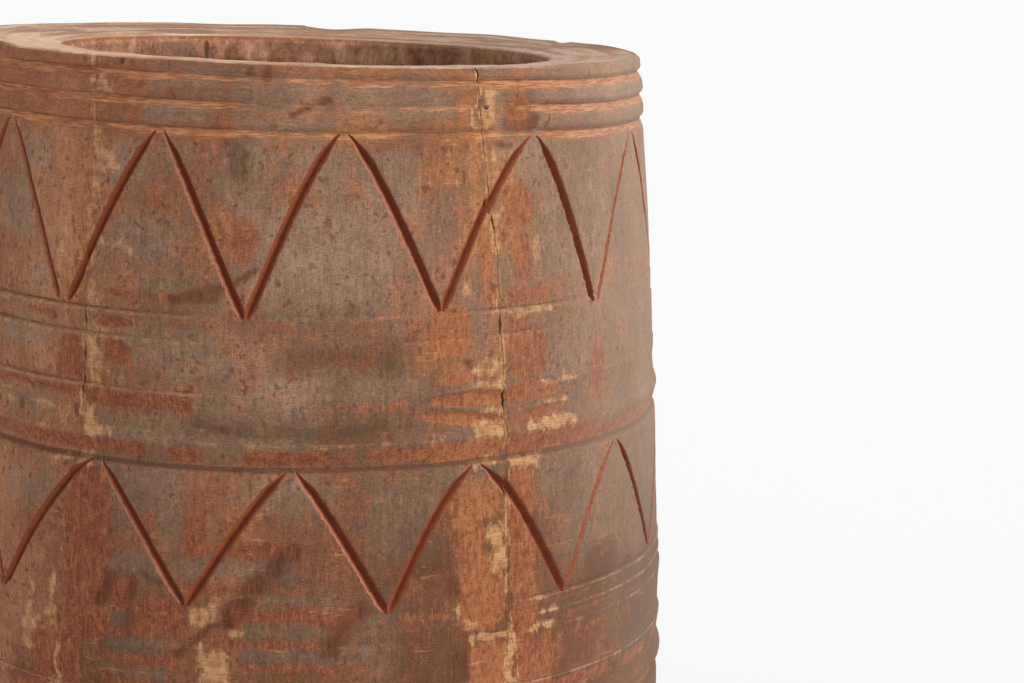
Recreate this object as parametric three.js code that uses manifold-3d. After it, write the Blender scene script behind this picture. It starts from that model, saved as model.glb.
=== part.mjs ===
// Carved wooden vessel: a thick hewn wall of six segments, rejoined edge to edge with wood filler and nails,
// round a pegged base board. Millimetres, +Z up, the foot's plane at z = 0, the middle of the front at -Y.
import * as THREE from "three";
import { mergeVertices } from "three/addons/utils/BufferGeometryUtils.js";
import Module from "manifold-3d";

const wasm = await Module();
wasm.setup();

// Driving sizes of the vessel. A depth is measured down from the rim.
const HEIGHT = 420;
const RIM_RADIUS = 150;
const BULGE = 16.3; // how much the belly's radius is over the rim's
const BELLY_DEPTH = 320;
const BELLY_POWER = 1.6;
const MOUTH_RADIUS = 107.8;
const CAVITY_RADIUS = 112;
const COLUMNS = 40; // flat sides round the turned ring
const GAP = 0.3; // clearance between pieces that touch

// The rim was hewn out of level: it rises this much per millimetre towards -X and towards the front.
const RIM_TILT_X = -0.0218;
const RIM_TILT_Y = -0.0182;
const TILT_FULL_DEPTH = 35; // the rim bands tilt with the rim
const TILT_END_DEPTH = 110; // and the wall is true again from here down

// Base board and its pegs
const BOARD_RADIUS = 122.3;
const BOARD_THICKNESS = 24.7;
const BOARD_RECESS = 8; // how far the board's underside stands above the foot
const SHOULDER_DEPTH = HEIGHT - BOARD_RECESS - BOARD_THICKNESS - GAP;
const PEG_RADIUS = 4;
const PEG_HEIGHT = 20.5;
const PEG_INNER = 100; // the peg's tip, in the board
const PEG_PROUD = 0.8;
const PEG_SIDES = 12;

// Joints between the wall segments
const FILLER_WIDTH = 2.4;
const SLAB_INNER = 90; // the cutting slabs run from here
const SLAB_OUTER = 190; // to here along the radius
const SLAB_OVERRUN = 12; // and past the rim and the foot

// Nails, driven at a slant across each joint
const NAIL_LENGTH = 42;
const NAIL_POINT = 3; // the tapered end
const NAIL_SLANT = 1.5; // the point lies this many times as far past the joint as the head is before it
const NAIL_DROP = 4; // and this much lower
const SHANK_RADIUS = 0.9;
const HEAD_RADIUS = 1.45;
const HEAD_THICKNESS = 0.9;
const HEAD_PROUD = 0.3;
const NAIL_SIDES = 8;
const HOLE_OVERRUN = 2.4; // how far a drilled hole's cutter runs out of the wall

// Zigzag carving: straight V cuts, which the wall's curve makes shallow at both ends
const TEETH = 12;
const CUT_END_DEPTH = 0.9; // how deep the cut is at its two ends
const CUT_HALF_ANGLE = 38; // degrees, half the V's opening
const CUT_HEIGHT = 12;
const APEX_GAP = 1.9; // half the bridge left between two cuts at a tooth's top

const DEGREE = Math.PI / 180;
const WELD_DISTANCE = 1e-4; // corners closer than this are one corner

// The wall's plain outer radius at a depth: a long soft belly
function bellyRadius(depth) {
  return RIM_RADIUS + BULGE * (1 - Math.abs(1 - depth / BELLY_DEPTH) ** BELLY_POWER);
}

// The carved bands, from the rim down: [depth, how far the surface stands out from the belly].
const RIM_BAND = [
  [0, -0.6], [1.8, 0.2], [5.8, 0.5],
  [6.8, -1.7], [12, 0.8], [16, 0.9],
  [17.2, -1.1], [21.5, 0.5], [26.8, 0.5],
  [28.2, -1.3], [33.5, 0],
];
const MIDDLE_BAND = [
  [98.5, -0.8], [100.4, 0.4],
  [108, -0.8], [110.4, 0.3],
  [129, -0.6], [131.2, 0.6], [139, -0.7],
  [151.5, 1.4], [160, -1.7], [164.5, -0.1],
];
const LOWER_BAND = [
  [219, -0.4], [221.5, 0.5],
  [237, -0.8], [239, 0.5],
  [256, -0.8], [258.5, 0.5], [266, -0.7],
  [275, 1.4], [283, -1.7], [288, -0.1],
];
const FOOT_BAND = [
  [353.5, -0.8], [356, 0.4], [386.5, 0],
  [391.8, -1.3], [393.4, 0.5], [398.5, 0.5],
  [403.2, -1.7], [405, 0.7],
  [418, 0.4], [HEIGHT, -1.6],
];

// The rim's top, from the mouth's edge over the ledge to the crest: [radius, depth]
const RIM_TOP = [[MOUTH_RADIUS, 5.4], [110.8, 3.4], [130.4, 2.1], [146, 0.1]];

// Each zigzag row lies between two bands. turn is the angle of its first tooth's top.
const ZIGZAG_ROWS = [
  { top: 30.5, bottom: 99, turn: -23.5 },
  { top: 163.5, bottom: 220, turn: -2 },
  { top: 288.5, bottom: 351, turn: -17 },
];

// The joints' courses down the wall, [depth, angle in degrees]. The first two are the ones in the photo.
const SEAMS = [
  { name: "front_left", course: [[0, -34.6], [120, -34.4], [158, -35.6], [190, -38], [HEIGHT, -37.6]] },
  {
    name: "front_right",
    course: [[0, 27.3], [50, 28.8], [90, 30.3], [150, 31], [225, 31.1], [258, 32.7], [HEIGHT, 33.4]],
  },
  { name: "right", course: [[0, 87.5], [110, 86], [230, 87.8], [330, 86.8], [HEIGHT, 88.4]] },
  { name: "back_right", course: [[0, 140.5], [90, 141.6], [210, 139.4], [HEIGHT, 140.6]] },
  { name: "back", course: [[0, 193], [130, 194.2], [260, 192.4], [HEIGHT, 194]] },
  { name: "left", course: [[0, 259.5], [100, 258.4], [240, 260.2], [HEIGHT, 259]] },
];
const SEGMENT_NAMES = ["front", "right", "back_right", "back", "back_left", "left"];

// One nail near the rim and one near the foot of each joint: degrees from the joint to the head, and depth
const RIM_NAILS = [[5.4, 4], [1.2, 18.2], [-2.6, 14.6], [2.4, 14.6], [-1.8, 24.6], [2.2, 14.6]];
const FOOT_NAILS = [[-2.4, 378], [2.2, 374], [2.4, 380], [-2.2, 376], [2.6, 372], [-2.4, 378]];

// Materials, from the photo
const WOOD = { color: 0x8f7460, roughness: 0.85, metalness: 0 };
const FILLER = { color: 0xc49468, roughness: 0.9, metalness: 0 };
const BOARD = { color: 0x7d5c45, roughness: 0.85, metalness: 0 };
const PEG = { color: 0xa5714c, roughness: 0.8, metalness: 0 };
const IRON = { color: 0x5a4a42, roughness: 0.6, metalness: 0.8 };

// A closed three.js geometry as a manifold solid
function solid(geometry) {
  const bare = geometry.clone();
  bare.deleteAttribute("normal");
  bare.deleteAttribute("uv");
  const merged = mergeVertices(bare, WELD_DISTANCE);
  const triVerts = new Uint32Array(merged.index.array);
  const vertProperties = merged.attributes.position.array;
  return new wasm.Manifold(new wasm.Mesh({ numProp: 3, vertProperties, triVerts }));
}

// A manifold solid back as a flat-shaded named mesh
function meshOf(made, name, look) {
  const cut = made.getMesh();
  const geometry = new THREE.BufferGeometry();
  geometry.setAttribute("position", new THREE.BufferAttribute(cut.vertProperties, 3));
  geometry.setIndex(new THREE.BufferAttribute(cut.triVerts, 1));
  const mesh = new THREE.Mesh(geometry, new THREE.MeshStandardMaterial({ ...look, flatShading: true }));
  mesh.geometry.computeVertexNormals();
  mesh.name = name;
  return mesh;
}

function joined(solids) {
  return solids.reduce((whole, each) => whole.add(each));
}

// A point on or near the wall, by its angle from the front, its radius and its depth below the rim
function wallPoint(degrees, radius, depth) {
  const angle = degrees * DEGREE;
  return new THREE.Vector3(radius * Math.sin(angle), -radius * Math.cos(angle), HEIGHT - depth);
}

// Turns a geometry whose X is across, Y is up and Z is outwards to stand at an angle round the wall
function turnedTo(degrees) {
  const angle = degrees * DEGREE;
  const across = new THREE.Vector3(Math.cos(angle), Math.sin(angle), 0);
  const outwards = new THREE.Vector3(Math.sin(angle), -Math.cos(angle), 0);
  return new THREE.Matrix4().makeBasis(across, new THREE.Vector3(0, 0, 1), outwards);
}

// How far the out-of-level rim lifts a point of the true ring
function rimLift(x, y, depth) {
  const fade = THREE.MathUtils.smoothstep(depth, TILT_FULL_DEPTH, TILT_END_DEPTH);
  return (RIM_TILT_X * x + RIM_TILT_Y * y) * (1 - fade);
}

// The whole wall as one turned ring, before it is split: the carved outside, and the foot, cavity and rim
function ringSolid() {
  const outside = [...RIM_BAND, ...MIDDLE_BAND, ...LOWER_BAND, ...FOOT_BAND]
    .map(([depth, out]) => [bellyRadius(depth) + out, depth]);
  const inside = [
    [BOARD_RADIUS + GAP, HEIGHT],
    [BOARD_RADIUS + GAP, SHOULDER_DEPTH],
    [CAVITY_RADIUS, SHOULDER_DEPTH],
    ...RIM_TOP,
  ];
  const profile = [...outside, ...inside, outside[0]]
    .map(([radius, depth]) => new THREE.Vector2(radius, HEIGHT - depth));
  const ring = new THREE.LatheGeometry(profile.reverse(), COLUMNS).rotateX(Math.PI / 2);
  const place = ring.attributes.position;
  for (let i = 0; i < place.count; i++) {
    const lift = rimLift(place.getX(i), place.getY(i), HEIGHT - place.getZ(i));
    place.setZ(i, place.getZ(i) + lift);
  }
  return solid(ring);
}

// One straight V cut between two points on the wall, each given as an angle and a depth
function zigzagCut([startTurn, startDepth], [endTurn, endDepth]) {
  const deep = CUT_END_DEPTH;
  const start = wallPoint(startTurn, bellyRadius(startDepth) - deep, startDepth);
  const end = wallPoint(endTurn, bellyRadius(endDepth) - deep, endDepth);
  start.z += rimLift(start.x, start.y, startDepth);
  end.z += rimLift(end.x, end.y, endDepth);
  const halfWidth = CUT_HEIGHT * Math.tan(CUT_HALF_ANGLE * DEGREE);
  const section = new THREE.Shape([
    new THREE.Vector2(0, 0),
    new THREE.Vector2(halfWidth, CUT_HEIGHT),
    new THREE.Vector2(-halfWidth, CUT_HEIGHT),
  ]);
  const along = end.clone().sub(start);
  const cut = new THREE.ExtrudeGeometry(section, { depth: along.length(), bevelEnabled: false });
  const middle = start.clone().add(end).multiplyScalar(0.5).setZ(0);
  const forward = along.clone().normalize();
  const out = middle.addScaledVector(forward, -middle.dot(forward)).normalize();
  const across = new THREE.Vector3().crossVectors(out, forward);
  return solid(cut.applyMatrix4(new THREE.Matrix4().makeBasis(across, out, forward).setPosition(start)));
}

// All cuts of one zigzag row: from each tooth's top down to the valleys on both sides
function zigzagCuts({ top, bottom, turn }) {
  const pitch = 360 / TEETH;
  const bridge = APEX_GAP / bellyRadius(top) / DEGREE;
  const cuts = [];
  for (let tooth = 0; tooth < TEETH; tooth++) {
    const apex = turn + tooth * pitch;
    cuts.push(zigzagCut([apex - bridge, top], [apex - pitch / 2, bottom]));
    cuts.push(zigzagCut([apex + bridge, top], [apex + pitch / 2, bottom]));
  }
  return cuts;
}

// A joint's angle at a depth, between the points of its course
function seamAngle(seam, depth) {
  const { course } = seam;
  const next = Math.max(1, course.findIndex(([below]) => below >= depth));
  const [fromDepth, fromAngle] = course[next - 1];
  const [toDepth, toAngle] = course[next];
  return THREE.MathUtils.mapLinear(depth, fromDepth, toDepth, fromAngle, toAngle);
}

// An upright slab that follows a joint's course through the wall
function seamSlab({ course }, width) {
  const middle = course[0][1];
  const edge = (side) => course.map(([depth, angle]) => {
    const sideways = (angle - middle) * DEGREE * bellyRadius(depth) + side * width / 2;
    const past = Math.sign(HEIGHT / 2 - depth) * SLAB_OVERRUN;
    const atEnd = depth === 0 || depth === HEIGHT;
    return new THREE.Vector2(sideways, HEIGHT - depth + (atEnd ? past : 0));
  });
  const outline = new THREE.Shape([...edge(-1), ...edge(1).reverse()]);
  const slab = new THREE.ExtrudeGeometry(outline, { depth: SLAB_OUTER - SLAB_INNER, bevelEnabled: false });
  return solid(slab.translate(0, 0, SLAB_INNER).applyMatrix4(turnedTo(middle)));
}

// A round rod along +Z of its own frame, from a profile of [radius, height] points, set between two points
function rodBetween(profile, sides, tip, head) {
  const rod = new THREE.LatheGeometry(profile.map(([r, z]) => new THREE.Vector2(r, z)), sides);
  rod.rotateX(Math.PI / 2);
  const direction = head.clone().sub(tip).normalize();
  const turn = new THREE.Quaternion().setFromUnitVectors(new THREE.Vector3(0, 0, 1), direction);
  return solid(rod.applyQuaternion(turn).translate(head.x, head.y, head.z));
}

// A nail whose head stands by the joint and whose shank crosses it. grow widens it into its own hole.
function nailSolid(seam, [offset, depth], grow) {
  const angle = seamAngle(seam, depth);
  const surface = bellyRadius(depth) + HEAD_PROUD;
  const head = wallPoint(angle + offset, surface, depth);
  head.z += rimLift(head.x, head.y, depth);
  const aim = wallPoint(angle - offset * NAIL_SLANT, surface - NAIL_LENGTH, depth + NAIL_DROP);
  const tip = head.clone().add(aim.sub(head).setLength(NAIL_LENGTH));
  const shank = SHANK_RADIUS + grow;
  const flange = HEAD_RADIUS + grow;
  const top = grow > 0 ? HOLE_OVERRUN : 0;
  const profile = [
    [0, -NAIL_LENGTH - grow], [shank, -NAIL_LENGTH + NAIL_POINT], [shank, -HEAD_THICKNESS - grow],
    [flange, -HEAD_THICKNESS - grow], [flange, top], [0, top],
  ];
  return rodBetween(profile, NAIL_SIDES, tip, head);
}

// A wooden peg through the foot into the board's edge, or with grow its hole
function pegSolid(angle, grow) {
  const outer = bellyRadius(HEIGHT - PEG_HEIGHT) + PEG_PROUD;
  const length = outer - PEG_INNER;
  const radius = PEG_RADIUS + grow;
  const top = grow > 0 ? HOLE_OVERRUN : 0;
  const profile = [[0, -length - grow], [radius, -length - grow], [radius, top], [0, top]];
  const depth = HEIGHT - PEG_HEIGHT;
  return rodBetween(profile, PEG_SIDES, wallPoint(angle, PEG_INNER, depth), wallPoint(angle, outer, depth));
}

// The middle angle of the segment that follows a joint, at the foot
function segmentMiddle(index) {
  const from = seamAngle(SEAMS[index], HEIGHT - PEG_HEIGHT);
  const next = SEAMS[(index + 1) % SEAMS.length];
  const to = seamAngle(next, HEIGHT - PEG_HEIGHT);
  return (from + (to > from ? to : to + 360)) / 2;
}

// Nails and pegs, each with its own hole
const nails = SEAMS.flatMap((seam, i) => [
  { name: `nail_rim_${seam.name}`, seam, at: RIM_NAILS[i] },
  { name: `nail_foot_${seam.name}`, seam, at: FOOT_NAILS[i] },
]);
const pegAngles = SEAMS.map((_, i) => segmentMiddle(i));
const nailHoles = joined(nails.map(({ seam, at }) => nailSolid(seam, at, GAP)));
const pegHoles = joined(pegAngles.map((angle) => pegSolid(angle, GAP)));
const holes = nailHoles.add(pegHoles);

// The wall: carve the ring, drill it, then split it at the joints
const ring = ringSolid();
const carved = ring.subtract(joined(ZIGZAG_ROWS.flatMap(zigzagCuts))).subtract(holes);
const joints = joined(SEAMS.map((seam) => seamSlab(seam, FILLER_WIDTH + 2 * GAP)));
const pieces = carved.subtract(joints).decompose();

// The segment between two joints, found by the angle of its middle
function segmentAt(degrees) {
  const aim = wallPoint(degrees, 1, 0).setZ(0);
  const middleOf = (piece) => {
    const { min, max } = piece.boundingBox();
    return new THREE.Vector3((min[0] + max[0]) / 2, (min[1] + max[1]) / 2, 0).normalize();
  };
  return pieces.reduce((best, piece) => (middleOf(piece).dot(aim) > middleOf(best).dot(aim) ? piece : best));
}

const vessel = new THREE.Group();
SEGMENT_NAMES.forEach((name, i) => {
  vessel.add(meshOf(segmentAt(pegAngles[i]), `wall_segment_${name}`, WOOD));
});
for (const seam of SEAMS) {
  const strip = ring.intersect(seamSlab(seam, FILLER_WIDTH)).subtract(nailHoles);
  vessel.add(meshOf(strip, `seam_filler_${seam.name}`, FILLER));
}

const boardProfile = [[0, 0], [BOARD_RADIUS, 0], [BOARD_RADIUS, BOARD_THICKNESS], [0, BOARD_THICKNESS]]
  .map(([radius, z]) => new THREE.Vector2(radius, z + BOARD_RECESS));
const board = new THREE.LatheGeometry(boardProfile, COLUMNS).rotateX(Math.PI / 2);
vessel.add(meshOf(solid(board).subtract(pegHoles), "base_board", BOARD));
pegAngles.forEach((angle, i) => {
  vessel.add(meshOf(pegSolid(angle, 0), `base_peg_${SEGMENT_NAMES[i]}`, PEG));
});
for (const { name, seam, at } of nails) {
  vessel.add(meshOf(nailSolid(seam, at, 0), name, IRON));
}

export default vessel;
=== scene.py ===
"""Looks of the carved wooden vessel: hewn, weathered wood in six rejoined segments, on its CAD frame."""

import math

import bpy
import numpy as np
from mathutils import Matrix, Vector


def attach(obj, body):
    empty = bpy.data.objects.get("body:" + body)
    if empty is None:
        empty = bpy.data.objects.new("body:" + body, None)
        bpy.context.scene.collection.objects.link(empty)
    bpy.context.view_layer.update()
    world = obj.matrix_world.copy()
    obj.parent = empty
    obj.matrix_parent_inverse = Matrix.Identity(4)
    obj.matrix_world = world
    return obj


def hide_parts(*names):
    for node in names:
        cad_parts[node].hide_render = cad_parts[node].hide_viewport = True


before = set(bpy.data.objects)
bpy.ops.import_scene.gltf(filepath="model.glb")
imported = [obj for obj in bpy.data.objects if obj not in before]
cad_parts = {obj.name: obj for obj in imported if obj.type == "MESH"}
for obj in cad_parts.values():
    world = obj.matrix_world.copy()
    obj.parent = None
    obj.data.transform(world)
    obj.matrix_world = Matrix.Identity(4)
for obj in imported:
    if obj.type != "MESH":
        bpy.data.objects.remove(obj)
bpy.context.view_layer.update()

# Sizes in millimetres and degrees. An angle runs from the front (-Y) towards +X, a depth down from the rim.
MM = 0.001
HEIGHT = 420.0
RIM_RADIUS = 150.0
BULGE = 16.3
BELLY_DEPTH = 320.0
BELLY_POWER = 1.6
CAVITY_RADIUS = 112.0
MOUTH_RADIUS = 107.8
RIM_TILT_X = -0.0218
RIM_TILT_Y = -0.0182
TILT_FULL_DEPTH = 35.0
TILT_END_DEPTH = 110.0
GAP = 0.3
BOARD_RADIUS = 122.3
BOARD_BOTTOM = 8.0
BOARD_TOP = 32.7
SHOULDER_DEPTH = 387.0
PEG_RADIUS = 4.0
PEG_HEIGHT = 20.5
PEG_INNER = 100.0
PEG_PROUD = 0.8
NAIL_HEAD_RADIUS = 1.2
FILLER_HALF = 1.2
PASTE_HALF = 1.44  # the paste is pressed almost against the wood
MEAN_RADIUS = 158.0  # where an angle is turned into a length along the wall

# The wall's outer bands from the rim down: (depth, how far the surface stands out from the belly)
RIM_BAND = [
    (0, -0.9), (0.7, -0.1), (2.0, 0.35), (4.8, 0.4), (5.6, 0.1),
    (6.8, -0.95), (7.6, -1.1), (10.2, 0.2), (11.6, 0.65), (14.6, 0.7), (15.6, 0.4),
    (16.8, -0.7), (17.8, -0.9), (20.6, 0.2), (22.0, 0.5), (25.2, 0.45), (26.2, 0.1),
    (27.5, -0.9), (28.8, -1.0), (31.8, -0.2), (33.5, 0),
]
MIDDLE_BAND = [
    (97.6, -0.1), (99.3, -0.75), (100.3, 0.45), (101.1, 0.5), (108.5, -0.6),
    (109.4, -0.65), (110.4, 0.35), (111.2, 0.35), (121, -0.1), (129.2, -0.6),
    (130.4, -0.6), (131.4, 0.6), (132.1, 0.6), (138.6, -0.9), (141.5, -0.95), (147, -0.2),
    (150.4, 1.1), (151.5, 1.3), (152.4, 1.1), (158.4, -1.2), (160.4, -1.7), (161.4, -1.6),
    (162.7, -0.4), (164.5, 0),
]
LOWER_BAND = [
    (219.5, -0.1), (221.2, -0.6), (222.2, 0.4), (223, 0.4), (227.4, -0.6), (228.8, 0.45),
    (229.6, 0.45), (234.2, -0.6), (235.7, 0.5), (236.5, 0.5), (246, -0.3), (256, -0.6),
    (258, 0.5), (259, 0.5), (266, -0.7), (270, -0.3), (274.6, 1.1), (275.8, 1.3), (276.8, 1.1),
    (282.6, -1.6), (284.4, -1.6), (286, -0.3), (288, 0),
]
FOOT_BAND = [
    (352, -0.1), (354, -0.7), (355.4, 0.4), (356.4, 0.4), (364, -0.2), (386.5, 0.3),
    (390.6, -1.2), (391.8, -1.3), (394, 0.4), (398.5, 0.5), (402.4, -1.5), (403.6, -1.5),
    (406, 0.5), (416, 0.4), (418.6, -0.2), (420, -1.6),
]
PROFILE = np.array(RIM_BAND + MIDDLE_BAND + LOWER_BAND + FOOT_BAND)

# How boldly each band is cut, by angle: worn soft at the front, crisp to the right
BAND_STRENGTH = [
    (0, [
        (-180, 0.9), (-60, 1.15), (-36, 1.05), (-33, 0.7), (2, 0.55), (7, 0.8), (26, 0.8), (31, 1.1),
        (60, 1.2), (180, 0.9),
    ]),
    (13, [
        (-180, 0.9), (-60, 1.1), (-36, 1), (-14, 0.75), (-5, 0.4), (26, 0.45), (31, 0.35), (37, 0.4),
        (39, 1.25), (60, 1.25), (180, 0.9),
    ]),
    (23.5, [
        (-180, 0.9), (-60, 1.1), (-36, 1), (-12, 0.75), (-7, 0.6), (25, 0.6), (31, 0.4), (38, 0.55),
        (41, 1.25), (60, 1.25), (180, 0.9),
    ]),
    (60, [
        (-180, 0.8), (-60, 1.1), (-38, 1.15), (-30, 0.9), (-18, 0.85), (-8, 0.25), (14, 0.25), (20, 0.5),
        (31, 0.9), (44, 0.55), (60, 0.4), (110, 0.4), (140, 0.8), (180, 0.8),
    ]),
    (144, [(-180, 1), (-60, 1.2), (-38, 1.2), (-30, 1), (40, 1), (70, 0.6), (110, 0.6), (140, 1), (180, 1)]),
    (190, [(-180, 0.8), (-60, 0.6), (-30, 0.3), (20, 0.25), (30, 0.6), (38, 0.95), (50, 0.9), (180, 0.8)]),
    (251, [(-180, 1), (180, 1)]),
]
BAND_FADE = 3.0  # depth over which one strength passes into the next

# The inside, from the foot's outer edge up to the crest: (radius, depth, rows from the point before)
INSIDE_START = (162.0, 420.0)
INSIDE = [
    (158, 420, 2), (124.5, 420, 8), (BOARD_RADIUS + GAP, 418, 2), (BOARD_RADIUS + GAP, SHOULDER_DEPTH, 14),
    (CAVITY_RADIUS, SHOULDER_DEPTH, 4), (CAVITY_RADIUS, SHOULDER_DEPTH - 1, 1), (CAVITY_RADIUS - 1, 260, 42),
    (MOUTH_RADIUS + 0.6, 12, 110), (MOUTH_RADIUS, 6.6, 5), (MOUTH_RADIUS + 0.7, 5.0, 3),
    (110.6, 3.6, 3), (130.4, 2.1, 14), (133.5, 1.7, 3), (145.8, 0.35, 10), (147.6, 0.1, 3), (148.6, 0.3, 1),
]
CREST_ROWS = 31  # the last of these rows, from the ledge outwards, are as fine as the outside
INNER_COLUMNS = 76

# Courses of the joints down the wall, (depth, angle). Each segment follows the joint of the same place.
SEAMS = {
    "front_left": [
        (0, -34.6), (60, -34.2), (130, -34.6), (158, -35.7), (190, -37.7), (222, -39.2), (258, -38.6),
        (420, -37.8),
    ],
    "front_right": [
        (0, 27), (30, 27.9), (57, 28.7), (78, 30.1), (99, 30.1), (150, 31.1), (225, 31.1), (258, 32.7),
        (420, 33.4),
    ],
    "right": [(0, 87.5), (60, 86.4), (110, 86), (170, 87.3), (230, 87.8), (330, 86.8), (420, 88.4)],
    "back_right": [(0, 140.5), (90, 141.6), (150, 140.2), (210, 139.4), (300, 140.4), (420, 140.6)],
    "back": [(0, 193), (70, 193.2), (130, 194.2), (200, 193.6), (260, 192.4), (420, 194)],
    "left": [(0, 259.5), (100, 258.4), (170, 259.8), (240, 260.2), (330, 259), (420, 259)],
}
SEAM_NAMES = list(SEAMS)
SEGMENTS = ["front", "right", "back_right", "back", "back_left", "left"]
SEGMENT_SHIFT = [0, 0.5, -0.3, 0.4, -0.4, 0.3]  # how far the carving is out of line across the joints
SEGMENT_PROUD = [0.15, 0.0, -0.2, 0.2, -0.15, -0.05]

# Nails beside each joint: (degrees from the joint, depth) near the rim and near the foot
RIM_NAILS = [(5.4, 4), (1.2, 18.2), (-2.6, 14.6), (2.4, 14.6), (-1.8, 24.6), (2.2, 14.6)]
FOOT_NAILS = [(-2.4, 378), (2.2, 374), (2.4, 380), (-2.2, 376), (2.6, 372), (-2.4, 378)]

# Zigzag teeth in the photo: (angle and depth of the top, of the valley to its right, bow of both cuts)
TEETH_SEEN = [
    [(-53.5, 31, -39.3, 97.5, -0.6, 0.5), (-22.6, 30.5, -9, 99.8, -0.6, 0.3),
     (5.6, 28.8, 20.2, 97.8, -1.1, 1.0), (37.2, 30.3, 50.6, 101.4, -1.9, 1.1),
     (67, 32, 82, 101, -2.0, 0.8)],
    [(-31.9, 161.8, -17.4, 217.6, -2.2, 0.3), (-2.1, 162.2, 11.8, 220.4, -0.9, 0.5),
     (25.8, 163.2, 41.4, 221.4, -1.6, 1.4), (55.5, 164.6, 69, 219, -1.4, 0.8)],
    [],
]
LEFT_VALLEYS = [None, (-51.3, 223), None]  # the valley to the left of the first of them
TEETH_PLAIN = [(30.5, 99), (163.5, 220), (288.5, 351)]  # top and bottom depths of each row
TEETH_START = [96.9, 85.8, -17]  # the first tooth top that the photo doesn't show
TEETH = 12
TOP_APART = 0.75
FOOT_APART = 0.4
WIDE_VALLEYS = {-39.3: 1.15, 50.6: 0.75}  # valleys where the two cuts stay further apart
CUT_HALF_WIDTH = 2.45
CUT_DEPTH = 2.3
TOOTH_JITTER = (0.8, 0.8, 0.9, 1.2, 0.7, 0.4)  # unseen teeth: apex and its depth, valley and depth, bows
PLAIN_BOWS = (-1.1, 0.8)
BOW_POWER = 0.65  # under 1, so that a cut bows most in its upper third
# How pale a cut is, as painted light and shade on its walls, darkest near its bottom: from its left lip, -1,
# over its bottom, 0, to its right lip, 1
FALLING_TONES = [(-1, 1.0), (-0.6, 0.8), (-0.2, 0.3), (0.2, 0.04), (0.75, 0.08), (1, 0.4)]
RISING_TONES = [(-1, 0.35), (-0.6, 0.52), (-0.05, 0.1), (0.4, 0.22), (0.8, 0.5), (1, 0.75)]
FAINT_TONE = 0.7  # where a cut is only scratched in
# How broad the cuts are by angle, those that rise to the right and those that fall
RISING_WIDTHS = [(-180, 1), (20, 0.98), (34, 0.88), (42, 0.6), (66, 0.58), (80, 0.9), (180, 1)]
FALLING_WIDTHS = [(-180, 1), (-60, 0.9), (-42, 0.72), (-34, 0.95), (30, 1), (38, 1.05), (46, 1.1), (62, 0.8),
                  (75, 0.9), (180, 1)]

# Red-brown rubbed places, seen in the photo: (first angle, last angle, first depth, last depth, strength)
RUBBED = [
    (-33, -20, 54, 61, 0.6), (-31.5, -13, 89.5, 95.5, 0.8), (-33.5, -26.5, 101.5, 107, 1),
    (-20.5, -13.8, 102, 107, 0.75), (-31, -26, 111.5, 121, 1), (-15.5, -12.3, 111, 115.5, 0.8),
    (-33.8, -16.6, 132.7, 138, 1.7), (-11, -2, 132, 140, 0.75), (3, 15, 132.6, 137.6, 0.8),
    (-56, -36, 132, 137, 1.1), (-56, -36, 152.3, 157.6, 1.5), (-35.5, -24, 152.6, 157.2, 1.7),
    (-21, -15.6, 153, 158, 1.7), (-12.5, -9, 153, 158.5, 0.65), (-9, 3, 153.6, 158.4, 1.7),
    (3, 9, 153.4, 158.8, 0.75), (9, 18.5, 153, 158.8, 1.1), (18, 31, 152.6, 159.4, 2),
    (31.5, 50, 152.2, 159.4, 1.9), (48, 75, 155, 159.2, 1.4), (17.3, 25.6, 97, 117.5, 1.3),
    (14, 18, 101, 105, 0.8), (20.3, 26.3, 124.3, 129.3, 1.1), (31.3, 40.5, 90.5, 98, 1.1),
    (31.2, 36, 102.4, 108, 1), (31.2, 39.6, 108, 130, 1.1), (31.5, 37.5, 50, 67, 1.15),
    (32, 37, 67, 92, 0.8), (38, 45, 86, 98, 0.6), (31.3, 36.2, 166, 262, 1.3), (36, 40, 178, 188, 0.6),
    (21.5, 27.5, 166, 200, 0.85), (24, 30.4, 165, 186, 0.9), (22.5, 30.6, 198, 232, 0.95),
    (24, 31, 236.5, 262, 1.05), (36, 40, 236, 262, 0.95), (13, 22, 221, 227, 0.7),
    (-37, -29.2, 164, 238, 1.25), (-44, -34, 236, 290, 1.15), (-38.5, -36.5, 178, 240, 0.8),
    (-17.8, -13.4, 179, 198, 1), (-25.5, -22, 180, 190, 0.9), (-23, -12, 168.5, 176, 0.6),
    (-16, -9, 167, 173, 0.7), (-13, 0.5, 191.3, 198.2, 1), (-17.5, -13, 206, 214, 0.9),
    (-13, 3, 207.5, 213, 0.75), (-12, 8.5, 218, 226, 1), (-11, 4, 230.3, 235.2, 1.05),
    (-10, 10, 240, 245.4, 0.85), (-29.3, -25, 207, 224, 1), (-25, -17.4, 216.5, 233.5, 1.1),
    (-31, -22, 229.8, 234.4, 0.9), (-31, -18.4, 240.2, 245.4, 1.05), (-30, -14, 250, 256, 0.9),
    (-47, -40, 101, 106.5, 0.9), (-44.5, -40, 110, 118, 0.7), (-40, -34.7, 110, 130, 1.1),
    (-11.8, -6, 62, 80, 0.8), (-5.8, -2.5, 90, 98.5, 0.8), (-7, -1, 101, 108, 0.6), (2.8, 4.2, 70, 82, 0.8),
    (-5, 8, 50, 58, 0.55), (12, 18, 53, 57, 0.55), (26, 30, 66, 98, 0.75), (31.5, 37.5, 12, 27, 0.85),
    (24, 27, 1.5, 6, 0.9), (40, 56, 222.5, 227, 0.75), (40, 62, 230.5, 234.5, 0.8),
    (40, 60, 237.5, 244, 0.65), (-60, -34.5, 1, 33, 0.62), (-34.5, -10, 1, 36, 0.6),
    (49, 53.6, 119, 148, 0.62), (42, 48, 184, 216, 0.55),
]
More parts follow.
